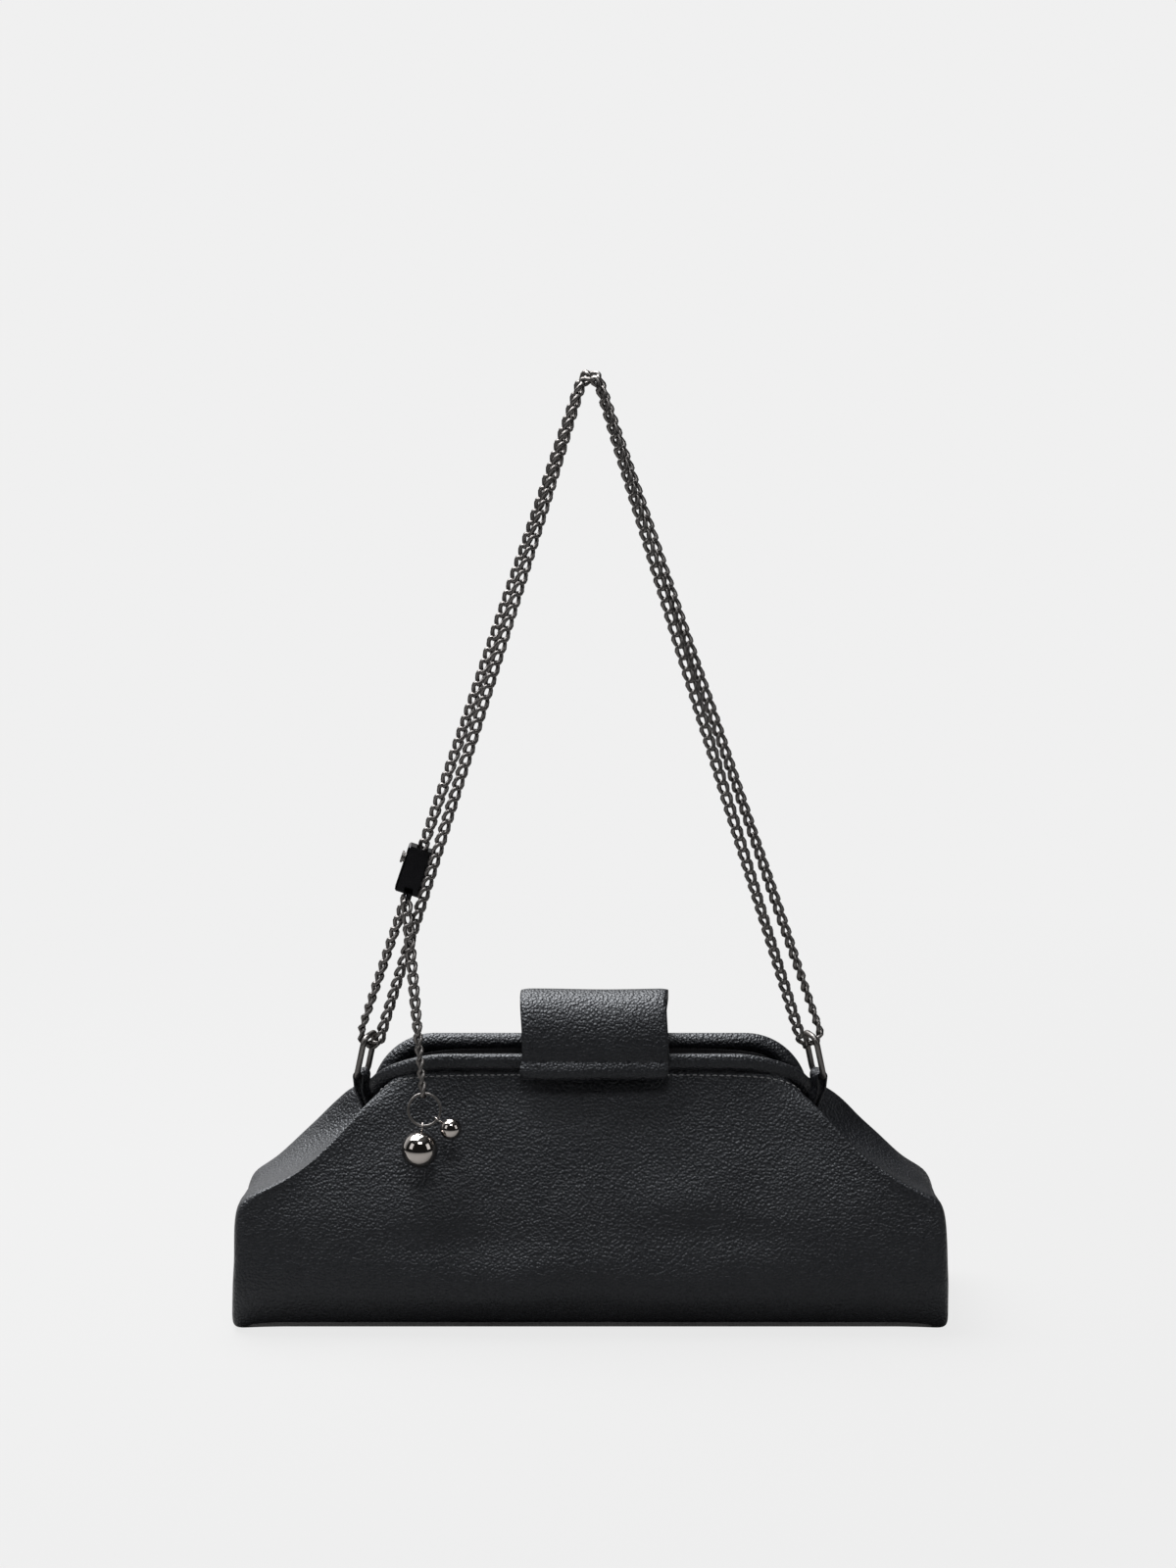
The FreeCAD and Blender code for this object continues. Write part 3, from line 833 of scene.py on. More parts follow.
@dataclass
class Stitching:
    """Lines of thread along seams."""

    finishes: Finishes
    pitch: float = 3.1 * MM
    thread: Point = (2.3 * MM, 0.7 * MM, 0.7 * MM)
    recipe: NodesRecipe = field(default_factory=stitch_recipe)

    def lay(self, name: str, line: Points) -> Piece:
        """Lay stitches along a line.

        Args:
            name: The piece's name.
            line: Points of the seam line.

        Returns:
            The stitches as one mesh.
        """
        mesh = bpy.data.meshes.new(name + "_line")
        edges = [(index, index + 1) for index in range(len(line) - 1)]
        mesh.from_pydata(point_list(line), edges, [])
        values = {"Pitch": self.pitch, "Thread": self.thread, "Finish": self.finishes.thread}
        return dress(self.recipe.bake(name, mesh, values), self.finishes.thread)


# Pouch

# Steps along a face from its middle to its lip: the share of the way in X, and the share in Y and Z
FACE_STEPS = ((0.0, 0.0), (0.33, 0.0), (0.62, 0.02), (0.86, 0.13), (0.965, 0.56), (1.0, 1.0))
# Where the fold between a lip and the valley stands, as shares of the way in X, Y and Z
FOLD_SHARES = (0.3, 0.42, 0.4)


@dataclass(frozen=True)
class PouchRow:
    """One height of the pouch, in millimetres, for the end towards +X."""

    front: tuple[float, float]
    front_lip: Point
    valley: Point
    back_lip: Point
    back: tuple[float, float]

    def half_loop(self) -> list[Point]:
        """Half of the loop round the pouch at this height.

        Returns:
            Control points from the middle of the front, round the end, to the middle of the back.
        """
        front = [self._between(self.front, self.front_lip, *step) for step in FACE_STEPS]
        back = [self._between(self.back, self.back_lip, *step) for step in reversed(FACE_STEPS)]
        front_fold = self._fold(self.front_lip, self.valley)
        back_fold = self._fold(self.back_lip, self.valley)
        return [*front, front_fold, self.valley, back_fold, *back]

    @staticmethod
    def _between(middle: tuple[float, float], lip: Point, share: float, drop: float) -> Point:
        """Point of a face, part of the way from its middle to its lip.

        Args:
            middle: Y and Z of the face's middle.
            lip: The lip's point.
            share: Part of the way along X.
            drop: Part of the way in Y and Z.

        Returns:
            The point.
        """
        y = middle[0] + (lip[1] - middle[0]) * drop
        z = middle[1] + (lip[2] - middle[1]) * drop
        return lip[0] * share, y, z

    @staticmethod
    def _fold(lip: Point, valley: Point) -> Point:
        """Point of the fold between a lip and the valley."""
        return tuple(near + (far - near) * share for near, far, share in zip(lip, valley, FOLD_SHARES))


POUCH_ROWS = (
    PouchRow((0, 0), (148, 0, 0), (150, 0, 0), (148, 0, 0), (0, 0)),
    PouchRow((-22, 0), (154, -22, 0), (154, 0, 0), (154, 22, 0), (22, 0)),
    PouchRow((-33, 0), (160, -37, 0), (160, 0, 0), (160, 38, 0), (37, 0)),
    PouchRow((-38.5, 0.2), (165.5, -42, 0.2), (165, 0, 0.2), (165.5, 43.5, 0.2), (42.5, 0.3)),
    PouchRow((-41.5, 3.5), (166.5, -45, 4), (165, 0, 5), (166.5, 46.5, 5), (47, 4.5)),
    PouchRow((-50.6, 17), (166, -48.5, 17), (164.5, 0, 16), (166, 48.5, 16), (50.2, 14)),
    PouchRow((-50, 28), (165, -48, 31), (163.5, 0, 31), (165, 48, 31), (50, 28)),
    PouchRow((-46.5, 43), (165, -46.5, 48.5), (162.5, 0, 45), (164, 46, 45), (47, 43)),
    PouchRow((-42, 55), (164, -44.5, 62.5), (162, -8, 58.5), (162.5, 40, 54), (42.5, 55)),
    PouchRow((-37.5, 66), (152, -43, 66.5), (148, -8, 64.5), (150.5, 33, 61), (37.5, 66)),
    PouchRow((-32, 78), (134, -37, 74.5), (121.5, -4, 76), (139, 30, 75.5), (31, 78)),
    PouchRow((-26.5, 90), (119.5, -30, 87), (102.5, -1, 86), (128, 23.5, 86), (24, 90)),
    PouchRow((-21.5, 101), (109, -24.5, 98), (95.5, 0, 96.5), (117, 18, 98), (17, 101)),
    PouchRow((-18, 110.5), (101.5, -18, 104), (93.5, 0, 100), (107.5, 13, 103), (10, 112)),
    PouchRow((-14.6, 120), (95, -12, 108), (94, 0, 103), (97, 8, 105.5), (5.2, 124)),
)


@dataclass(frozen=True)
class Sag:
    """How the pouch's leather sags between its base and its mouth."""

    low: float = 4.0 * MM
    low_reach: float = 12.0 * MM
    high: float = 112.0 * MM
    high_reach: float = 14.0 * MM
    face_depth: float = 30.0 * MM
    face_reach: float = 95.0 * MM
    centre_x: float = -6.0 * MM
    centre_reach: float = 42.0 * MM
    dip_height: float = 45.0 * MM
    dip_wave: float = 3.0 * MM
    dip_wave_turn: float = 31.0
    dip_wave_start: float = 0.7
    dip_reach: float = 8.0 * MM
    dip_depth: float = 1.7 * MM
    dip_centre_loss: float = 0.9
    swell_height: float = 20.0 * MM
    swell_lift: float = 9.0 * MM
    swell_reach: float = 12.0 * MM
    swell_rise: float = 2.0 * MM
    swell_wave: float = 0.3
    swell_wave_turn: float = 24.0
    swell_wave_start: float = 2.0
    ruffles: tuple[tuple[float, float], ...] = ((26.0, 0.9 * MM), (62.0, 0.35 * MM))

    def distances(self, grid: Grid) -> np.ndarray:
        """How far each point stands out from the drawn form.

        Args:
            grid: Points of the drawn form.

        Returns:
            Distances in metres.
        """
        x, y, z = grid[:, :, 0], grid[:, :, 1], grid[:, :, 2]
        above = np.clip((z - self.low) / self.low_reach, 0, 1)
        free = above * np.clip((self.high - z) / self.high_reach, 0, 1)
        face = np.clip(np.abs(y) / self.face_depth, 0, 1) * np.exp(-((x / self.face_reach) ** 4))
        centre = bell(x - self.centre_x, self.centre_reach)
        dip_turn = np.sin(x * self.dip_wave_turn + self.dip_wave_start)
        dip_line = self.dip_height + self.dip_wave * dip_turn
        dip = bell(z - dip_line, self.dip_reach) * (1 - self.dip_centre_loss * centre)
        swell_line = self.swell_height + self.swell_lift * centre
        swell_turn = np.sin(x * self.swell_wave_turn + self.swell_wave_start)
        swell = bell(z - swell_line, self.swell_reach)
        swell = swell * (1 - self.swell_wave + self.swell_wave * swell_turn)
        moved = (self.swell_rise * swell - self.dip_depth * dip) * face
        for index in np.ndindex(*moved.shape):
            place = Vector(grid[index])
            moved[index] += sum(noise.noise(place * scale) * size for scale, size in self.ruffles)
        return moved * free


@dataclass
class Pouch:
    """The sagging leather pouch with its folded ends, and its lining."""

    finishes: Finishes
    rows: Sequence[PouchRow] = POUCH_ROWS
    sag: Sag = Sag()
    row_samples: int = 96
    column_samples: int = 224
    wall: float = 1.6 * MM
    lining_gap: float = 2.4 * MM
    lining_wall: float = 0.5 * MM
    bend_start: Point = (0.0, -14.0 * MM, 100.5 * MM)
    bend_end: Point = (0.0, -22.3 * MM, 107.1 * MM)
    seam_height: float = 115.0 * MM
    seam_span: int = 46
    seam_lift: float = 0.1 * MM

    def skin(self) -> Grid:
        """The outer skin, with sag and creases.

        Returns:
            The skin's points.
        """
        net = []
        for row in self.rows:
            half = row.half_loop()
            other = [(-x, y, z) for x, y, z in reversed(half[1:-1])]
            net.append(half + other)
        points = np.array(net) * MM
        rise = spline_weights(points.shape[0], self.row_samples, False)
        around = spline_weights(points.shape[1], self.column_samples, True)
        smooth = np.einsum("rk,kcj->rcj", rise, points)
        smooth = np.einsum("sc,rcj->rsj", around, smooth)
        return smooth + grid_normals(smooth, True) * self.sag.distances(smooth)[:, :, None]

    def build(self, stitching: Stitching) -> None:
        """Make the leather skin, its front seam and the lining.

        Args:
            stitching: What lays the thread.
        """
        outer = self.skin()
        normal = grid_normals(outer, True)
        normal[0] = (0.0, 0.0, -1.0)
        leather = thick_sheet("pouch_leather", outer, outer - normal * self.wall, True)
        dress(
            leather,
            self.finishes.leather,
            "front_panel",
            "back_panel",
            "base_panel",
            "left_gusset",
            "right_gusset",
            "front_yoke",
            "back_yoke",
        )
        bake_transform(leather)
        columns = np.arange(-self.seam_span, self.seam_span + 1) % self.column_samples
        row = int(np.argmin(np.abs(outer[:, 0, 2] - self.seam_height)))
        line = outer[row, columns] + normal[row, columns] * self.seam_lift
        threads = stitching.lay("front_seam_stitches", line)
        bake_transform(threads)
        near = outer - normal * self.lining_gap
        lining = thick_sheet("lining_cloth", near, near - normal * self.lining_wall, True)
        dress(lining, self.finishes.lining, "lining")
        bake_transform(lining)


# Mouth frame

@dataclass(frozen=True)
class BarCurve:
    """Middle line of a frame bar's leg and corner, before the bar tilts."""

    top: float
    foot: float
    half_width: float
    corner_reach: float
    corner_drop: float
    corner_power: float


FRONT_CURVE = BarCurve(127.2 * MM, 108.0 * MM, 98.8 * MM, 31.0 * MM, 17.0 * MM, 1.6)
BACK_CURVE = BarCurve(125.4 * MM, 98.5 * MM, 98.2 * MM, 25.5 * MM, 26.0 * MM, 2.0)


@dataclass
class FrameCover:
    """Padded leather roll over one U-shaped frame bar."""

    finishes: Finishes
    name: str
    body: Body
    side: int
    tilt: float
    curve: BarCurve
    pivot: float = 107.0 * MM
    offset: float = 3.8 * MM
    height: float = 9.0 * MM
    width: float = 7.4 * MM
    bar_height: float = 5.6 * MM
    bar_width: float = 2.6 * MM
    roll_sides: int = 28
    roll_squareness: float = 1.7
    bar_sides: int = 12
    bar_squareness: float = 5.0
    corner_steps: int = 24
    leg_steps: int = 4
    top_steps: int = 28
    leg_reach: float = 0.85
    top_reach: float = 0.9

    def path(self) -> Points:
        """Middle line of the roll, tilted with its bar.

        Returns:
            Points from foot to foot.
        """
        half, top, foot = self.curve.half_width, self.curve.top, self.curve.foot
        reach, drop = self.curve.corner_reach, self.curve.corner_drop
        bend = 2 / self.curve.corner_power
        arc = np.linspace(0, math.pi / 2, self.corner_steps)
        leg = np.linspace(0, self.leg_reach, self.leg_steps)
        right = [(half, foot + (top - drop - foot) * share) for share in leg]
        right += [
            (half - reach + reach * math.cos(turn) ** bend, top - drop + drop * math.sin(turn) ** bend)
            for turn in arc
        ]
        shares = np.linspace(self.top_reach, -self.top_reach, self.top_steps)
        across = [((half - reach) * share, top) for share in shares]
        line = right + across + [(-x, z) for x, z in reversed(right)]
        y = self.side * self.offset
        points = np.array([(x, y, z) for x, z in line])
        return turned(points, "X", self.tilt, (0, 0, self.pivot))

    def build(self) -> None:
        """Make the roll and the steel bar in it."""
        plane = turned(np.array([0.0, 1.0, 0.0]), "X", self.tilt)
        section = rounded_section(self.height, self.width, self.roll_sides, self.roll_squareness)
        roll = sweep(self.name + "_roll", self.path(), section, plane, False)
        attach(dress(roll, self.finishes.leather, self.name + "_cover"), self.body.value)
        core = rounded_section(self.bar_height, self.bar_width, self.bar_sides, self.bar_squareness)
        bar = sweep(self.name + "_core", self.path(), core, plane, False)
        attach(dress(bar, self.finishes.steel, self.name + "_bar"), self.body.value)


# Flap

@dataclass
class Flap:
    """Closing flap: a thick leather sheet, stitched behind, arched over the mouth, with a rolled hem."""

    finishes: Finishes
    left: float = -32.0 * MM
    right: float = 36.0 * MM
    front: float = -21.56 * MM
    back: float = 10.15 * MM
    wall: float = 3.1 * MM
    top: float = 152.8 * MM
    hem: float = 114.6 * MM
    anchor: float = 117.0 * MM
    fall: float = 26.0 * MM
    hem_roll: float = 2.0 * MM
    hem_height: float = 9.0 * MM
    hem_crease: float = 0.5 * MM
    hem_fullness: float = 0.8
    crease_place: float = 1.05
    crease_reach: float = 0.12
    crease_power: int = 6
    edge_round: float = 0.5 * MM
    edge_columns: float = 1.6
    left_wander: float = 0.5 * MM
    left_wave: tuple[float, float] = (2.1, 0.6)
    right_wander: float = 0.6 * MM
    right_wave: tuple[float, float] = (1.7, 2.1)
    ripple: float = 0.35 * MM
    ripple_least: float = 0.3
    ripple_turn: float = 95.0
    row_turn: float = 9.0
    stitch_inset: float = 3.0 * MM
    stitch_rise: float = 11.0 * MM
    stitch_lift: float = 0.15 * MM
    stitch_steps: int = 12
    columns: int = 40
    back_steps: int = 14
    arch_steps: int = 36
    front_steps: int = 16
    bend_start: Point = (0.0, 11.7 * MM, 130.0 * MM)
    bend_end: Point = (0.0, 5.6 * MM, 136.1 * MM)

    def profile(self) -> tuple[Points, Points]:
        """The flap's profile in Y and Z, from the stitched foot to the hem.

        Returns:
            Its outer line and its inner line.
        """
        radius = (self.back - self.front) / 2
        middle_y = (self.back + self.front) / 2
        middle_z = self.top - self.wall - radius
        inner: list[tuple[float, float]] = []
        outer: list[tuple[float, float]] = []
        for z in np.linspace(self.anchor, middle_z, self.back_steps, endpoint=False):
            inner.append((self.back, z))
            outer.append((self.back + self.wall, z))
        for turn in np.linspace(0, math.pi, self.arch_steps):
            foot = middle_z if turn < math.pi / 2 else self.top - self.wall - self.fall
            rise = radius if turn < math.pi / 2 else self.fall
            inner.append((middle_y + radius * math.cos(turn), foot + rise * math.sin(turn)))
            reach = radius + self.wall
            outer.append((middle_y + reach * math.cos(turn), foot + (rise + self.wall) * math.sin(turn)))
        for z in np.linspace(self.top - self.wall - self.fall, self.hem, self.front_steps)[1:]:
            inner.append((self.front, z))
            outer.append((self.front - self.wall - self.hem_swell(z), z))
        return np.array(outer), np.array(inner)

    def hem_swell(self, z: float) -> float:
        """How far the turned hem stands out at a height.

        Args:
            z: The height.

        Returns:
            The distance, less than nothing in the crease above the hem.
        """
        place = (z - self.hem) / self.hem_height
        if place >= 1:
            return -self.hem_crease * bell(place - self.crease_place, self.crease_reach)
        rolled = self.hem_roll * math.sin(math.pi * max(place, 0.0) ** self.hem_fullness)
        return rolled - self.hem_crease * place**self.crease_power

    def build(self, stitching: Stitching) -> None:
        """Make the flap and its stitches.

        Args:
            stitching: What lays the thread.
        """
        leather = thick_sheet("flap_leather", *self.skins(), False)
        dress(leather, self.finishes.leather, "flap_outer", "flap_lining", "flap_anchor")
        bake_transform(leather)
        threads = stitching.lay("flap_stitches", self.stitch_line())
        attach(threads, Body.BAG.value)

    def skins(self) -> tuple[Grid, Grid]:
        """The flap's skins, with wandering sides, slight ripples and rounded edges.

        Returns:
            The outer skin and the inner skin.
        """
        outer_line, inner_line = self.profile()
        share = np.linspace(0, 1, self.columns)
        left_pace, left_start = self.left_wave
        right_pace, right_start = self.right_wave
        edge = 1 - np.clip(np.minimum(share, 1 - share) * self.columns / self.edge_columns, 0, 1)
        thin = edge * self.edge_round
        outer = np.zeros((len(outer_line), self.columns, 3))
        inner = np.zeros_like(outer)
        for row, (outside, inside) in enumerate(zip(outer_line, inner_line)):
            along = row / len(outer_line)
            step = along * self.row_turn
            left = self.left + self.left_wander * math.sin(step * left_pace + left_start)
            right = self.right + self.right_wander * math.sin(step * right_pace + right_start)
            x = left + (right - left) * share
            growth = self.ripple_least + (1 - self.ripple_least) * along
            ripple = self.ripple * np.sin(x * self.ripple_turn + step) * growth
            outward = (outside - inside) / np.linalg.norm(outside - inside)
            outer[row, :, 0] = x
            inner[row, :, 0] = x
            outer[row, :, 1:] = outside + np.outer(ripple - thin, outward)
            inner[row, :, 1:] = inside + np.outer(thin, outward)
        return outer, inner

    def stitch_line(self) -> Points:
        """Seam line on the stitched foot.

        Returns:
            Points down the left side, across and up the right.
        """
        back = self.back + self.wall + self.stitch_lift
        left, right = self.left + self.stitch_inset, self.right - self.stitch_inset
        low, high = self.anchor + self.stitch_inset, self.anchor + self.stitch_rise
        ends = ((left, high), (left, low), (right, low), (right, high))
        corners = np.array([(x, back, z) for x, z in ends])
        parts = np.linspace(0, 1, self.stitch_steps, endpoint=False)
        line: list[np.ndarray] = []
        for first, last in zip(corners, corners[1:]):
            line += [first + (last - first) * part for part in parts]
        return np.array(line)


# Strap

@dataclass(frozen=True)
class StrapPlan:
    """Where the strap's rings, chain and tail run, in millimetres as in the part."""

    ring_half_span: float = 107.0
    ring_height: float = 110.5
    ring_wire: float = 2.8
    ring_inner_width: float = 9.0
    ring_inner_height: float = 18.4
    ring_corner: float = 3.6
    ring_lean: float = 13.0
    ring_turn: float = 23.0
    strap_lean: float = 5.0
    strap_height: float = 329.5
    hang_radius: float = 4.5
    hang_spread: float = 16.0
    turn_radius: float = 5.3
    link_pitch: float = 5.6
    link_wire: float = 1.2
    link_slack: float = 0.3
    twist_length: float = 55.0

    @property
    def link_length(self) -> float:
        """Length of one link over all."""
        return self.link_pitch + 2 * self.link_wire + self.link_slack

    @property
    def ring_width(self) -> float:
        """Width of a ring between wire middles."""
        return self.ring_inner_width + self.ring_wire

    @property
    def ring_span(self) -> float:
        """Height of a ring between wire middles."""
        return self.ring_inner_height + self.ring_wire

    @property
    def ring_top(self) -> np.ndarray:
        """Middle of the right-hand ring's head.

        Returns:
            The point before the strap leans.
        """
        offset = self.ring_span * math.sin(math.radians(self.ring_lean))
        turn = math.radians(self.ring_turn)
        return np.array(
            [
                self.ring_half_span - offset * math.cos(turn),
                -offset * math.sin(turn),
                self.ring_height + self.ring_span * math.cos(math.radians(self.ring_lean)),
            ]
        )

    @property
    def hang_height(self) -> float:
        """Height of the strap's hanging point before it leans."""
        return self.ring_height + self.strap_height

    def leaned(self, points: Points) -> Points:
        """Points leaned forward with the strap."""
        return turned(points, "X", self.strap_lean, (0, 0, self.ring_height))

    def at_ring(self, points: Points, end: int) -> Points:
        """Points drawn about a ring's foot, set at one end of the bag.

        Args:
            points: Points in millimetres.
            end: 1 for the right-hand end, -1 for the left.

        Returns:
            The placed points in metres.
        """
        foot = np.array([self.ring_half_span, 0, self.ring_height])
        placed = self.leaned(turned(points, "Z", self.ring_turn) + foot)
        return placed * np.array([end, 1, 1]) * MM

    def turn_arc(self, end: int, steps: int = 24) -> Points:
        """Half turn of the chain round a ring's head.

        Args:
            end: 1 for the right-hand end, -1 for the left.
            steps: How many points.

        Returns:
            Points from behind to the front.
        """
        turn = math.radians(self.ring_turn)
        across = np.array([end * math.cos(turn), math.sin(turn), 0.0]) * self.turn_radius
        down = np.array([0.0, 0.0, -self.turn_radius])
        head = self.ring_top * np.array([end, 1, 1])
        angles = np.linspace(0, math.pi, steps)
        return head + np.outer(np.cos(angles), across) + np.outer(np.sin(angles), down)

    def top_arc(self, y: float, steps: int = 12) -> Points:
        """Turn of the chain over its hanging point.

        Args:
            y: The turn's depth.
            steps: How many points.

        Returns:
            Points from left to right.
        """
        angles = np.linspace(math.pi, 0, steps)
        radius = self.hang_radius
        middle = self.hang_height - radius
        return np.array([(radius * math.cos(turn), y, middle + radius * math.sin(turn)) for turn in angles])

    def joints(self) -> Points:
        """Evenly spaced joints of the closed chain.

        Returns:
            Points from the left-hand turn up the back and round.
        """
        left = self.turn_arc(-1)
        right = self.turn_arc(1)
        low = len(left) // 2
        spread = self.hang_spread / 2
        lowest = (left[low - 1:low] + left[low:low + 1]) / 2
        back_run = [lowest, left[:low][::-1], self.top_arc(spread), right]
        front_run = [self.top_arc(-spread)[::-1], left[low:][::-1], lowest]
        line = np.concatenate(back_run + front_run)
        steps = np.linalg.norm(np.diff(line, axis=0), axis=1)
        length = np.concatenate([[0], np.cumsum(steps)])
        count = 4 * round(length[-1] / self.link_pitch / 4)
        places = np.linspace(0, length[-1], count + 1)
        return np.stack([np.interp(places, length, line[:, axis]) for axis in range(3)], axis=1)

    def twist(self, middle: np.ndarray) -> tuple[np.ndarray, float]:
        """Width direction of a link before it rolls, and its place on the run.

        Args:
            middle: The link's middle.

        Returns:
            The direction, and the share of the way from the ring up to the hanging point.
        """
        ring_z = self.ring_top[2]
        climb = self.hang_height - ring_z
        share = min(max((middle[2] - ring_z) / climb, 0), 1)
        turn = math.radians(self.ring_turn)
        ring_axis = np.array([-math.copysign(math.sin(turn), middle[0]), math.cos(turn), 0.0])
        above = min(share * climb / self.twist_length, 1)
        across = ring_axis * (1 - above) + np.array([0.0, 1.0, 0.0]) * above
        return across, share


def link_turn(along: np.ndarray, across: np.ndarray, roll: float) -> Point:
    """Angles that set a link's length along a direction and roll it.

    Args:
        along: Direction of the link's length.
        across: Direction of its width before the roll.
        roll: Roll about its length, in degrees.

    Returns:
        Euler angles.
    """
    run = Vector(along).normalized()
    side = Vector(across) - run * run.dot(Vector(across))
    side = Matrix.Rotation(math.radians(roll), 3, run) @ side.normalized()
    third = run.cross(side)
    return tuple(Matrix((run, side, third)).transposed().to_euler())


@dataclass
class Chain:
    """Curb links of the strap and of the hanging tail."""

    finishes: Finishes
    plan: StrapPlan
    tail_start: Point = (-84.685, -15.146, 196.655)
    tail_way: Point = (0.090141, -0.228165, -0.969441)
    tail_links: int = 16
    wire: float = 2.2
    width: float = 6.1
    wring: float = 40.0
    edge_turn: float = 14.0
    front_turn: float = 74.0
    back_turn: float = 50.0
    open_start: float = 0.1
    open_span: float = 0.8
    # Size in degrees and step in radians of the small changes of roll from link to link
    strap_sway: tuple[float, float] = (5.0, 0.37)
    tail_sway: tuple[float, float] = (6.0, 0.6)
    link_round: float = 0.8
    link_steps: int = 14
    link_sides: int = 6

    def link(self) -> Piece:
        """One rounded link about the origin, its length along X, wrung about it.

        Returns:
            The link.
        """
        plan = self.plan
        half_length = (plan.link_length - self.wire) / 2 * MM
        half_width = (self.width - self.wire) / 2 * MM
        turn = full_turn(self.link_steps)
        round_x = powered(np.cos(turn), self.link_round) * half_length
        round_y = powered(np.sin(turn), self.link_round) * half_width
        path = np.stack([round_x, round_y, np.zeros_like(turn)], axis=1)
        section = rounded_section(self.wire * MM, self.wire * MM, self.link_sides)
        shape = sweep("link_shape", path, section, np.array([0.0, 0.0, 1.0]), True)
        for vertex in shape.data.vertices:
            wring = math.radians(self.wring) * max(min(vertex.co.x / half_length, 1.0), -1.0)
            vertex.co = Matrix.Rotation(wring, 3, "X") @ vertex.co
        return shape

    def seed(self, name: str, places: list[np.ndarray], turns: list[Point]) -> bpy.types.Mesh:
        """Points that carry the links' angles.

        Args:
            name: The mesh's name.
            places: Middles of the links in millimetres.
            turns: Euler angles of the links.

        Returns:
            The mesh of points.
        """
        mesh = bpy.data.meshes.new(name)
        mesh.from_pydata([tuple(place * MM) for place in places], [], [])
        angles = mesh.attributes.new("turn", "FLOAT_VECTOR", "POINT")
        angles.data.foreach_set("vector", np.array(turns, dtype=np.float32).ravel())
        return mesh

    def roll(self, most: float, share: float, sway: tuple[float, float], index: int) -> float:
        """Roll in degrees of a link that has turned this share of the way from edge-on to the most."""
        size, step = sway
        return self.edge_turn + (most - self.edge_turn) * share + size * math.sin(index * step)

    def strap_run(self) -> tuple[list[np.ndarray], list[Point]]:
        """Where the strap's links stand.

        Returns:
            Their middles and their angles.
        """
        plan = self.plan
        joints = plan.joints()
        places: list[np.ndarray] = []
        turns: list[Point] = []
        for index, (first, last) in enumerate(zip(joints, joints[1:])):
            middle = (first + last) / 2
            across, share = plan.twist(middle)
            open_share = math.sin(math.pi * (self.open_start + self.open_span * share))
            most = self.front_turn if middle[1] < 0 else self.back_turn
            along = plan.leaned(last) - plan.leaned(first)
            across = plan.leaned(across) - plan.leaned(np.zeros(3))
            places.append(plan.leaned(middle))
            turns.append(link_turn(along, across, self.roll(most, open_share, self.strap_sway, index)))
        return places, turns

    def tail_run(self) -> tuple[list[np.ndarray], list[Point]]:
        """Where the tail's links stand.

        Returns:
            Their middles and their angles.
        """
        start, way = np.array(self.tail_start), np.array(self.tail_way)
        across = np.array([1.0, 0.0, 0.0])
        places: list[np.ndarray] = []
        turns: list[Point] = []
        for index in range(self.tail_links):
            share = index / (self.tail_links - 1)
            places.append(start + way * self.plan.link_pitch * (index + 0.5))
            turns.append(link_turn(way, across, self.roll(self.front_turn, share, self.tail_sway, index)))
        return places, turns

    def build(self) -> None:
        """Make the strap's links and the tail's links."""
        recipe = link_recipe()
        shape = self.link()
        values = {"Link": shape, "Finish": self.finishes.gunmetal}
        strap = recipe.bake("strap_links", self.seed("strap_points", *self.strap_run()), values)
        nodes = ("chain_left_back", "chain_right_back", "chain_right_front", "chain_left_front")
        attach(dress(strap, self.finishes.gunmetal, *nodes), Body.STRAP.value)
        tail = recipe.bake("tail_links", self.seed("tail_points", *self.tail_run()), values)
        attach(dress(tail, self.finishes.gunmetal, "chain_tail"), Body.TAIL.value)
        bpy.data.objects.remove(shape)


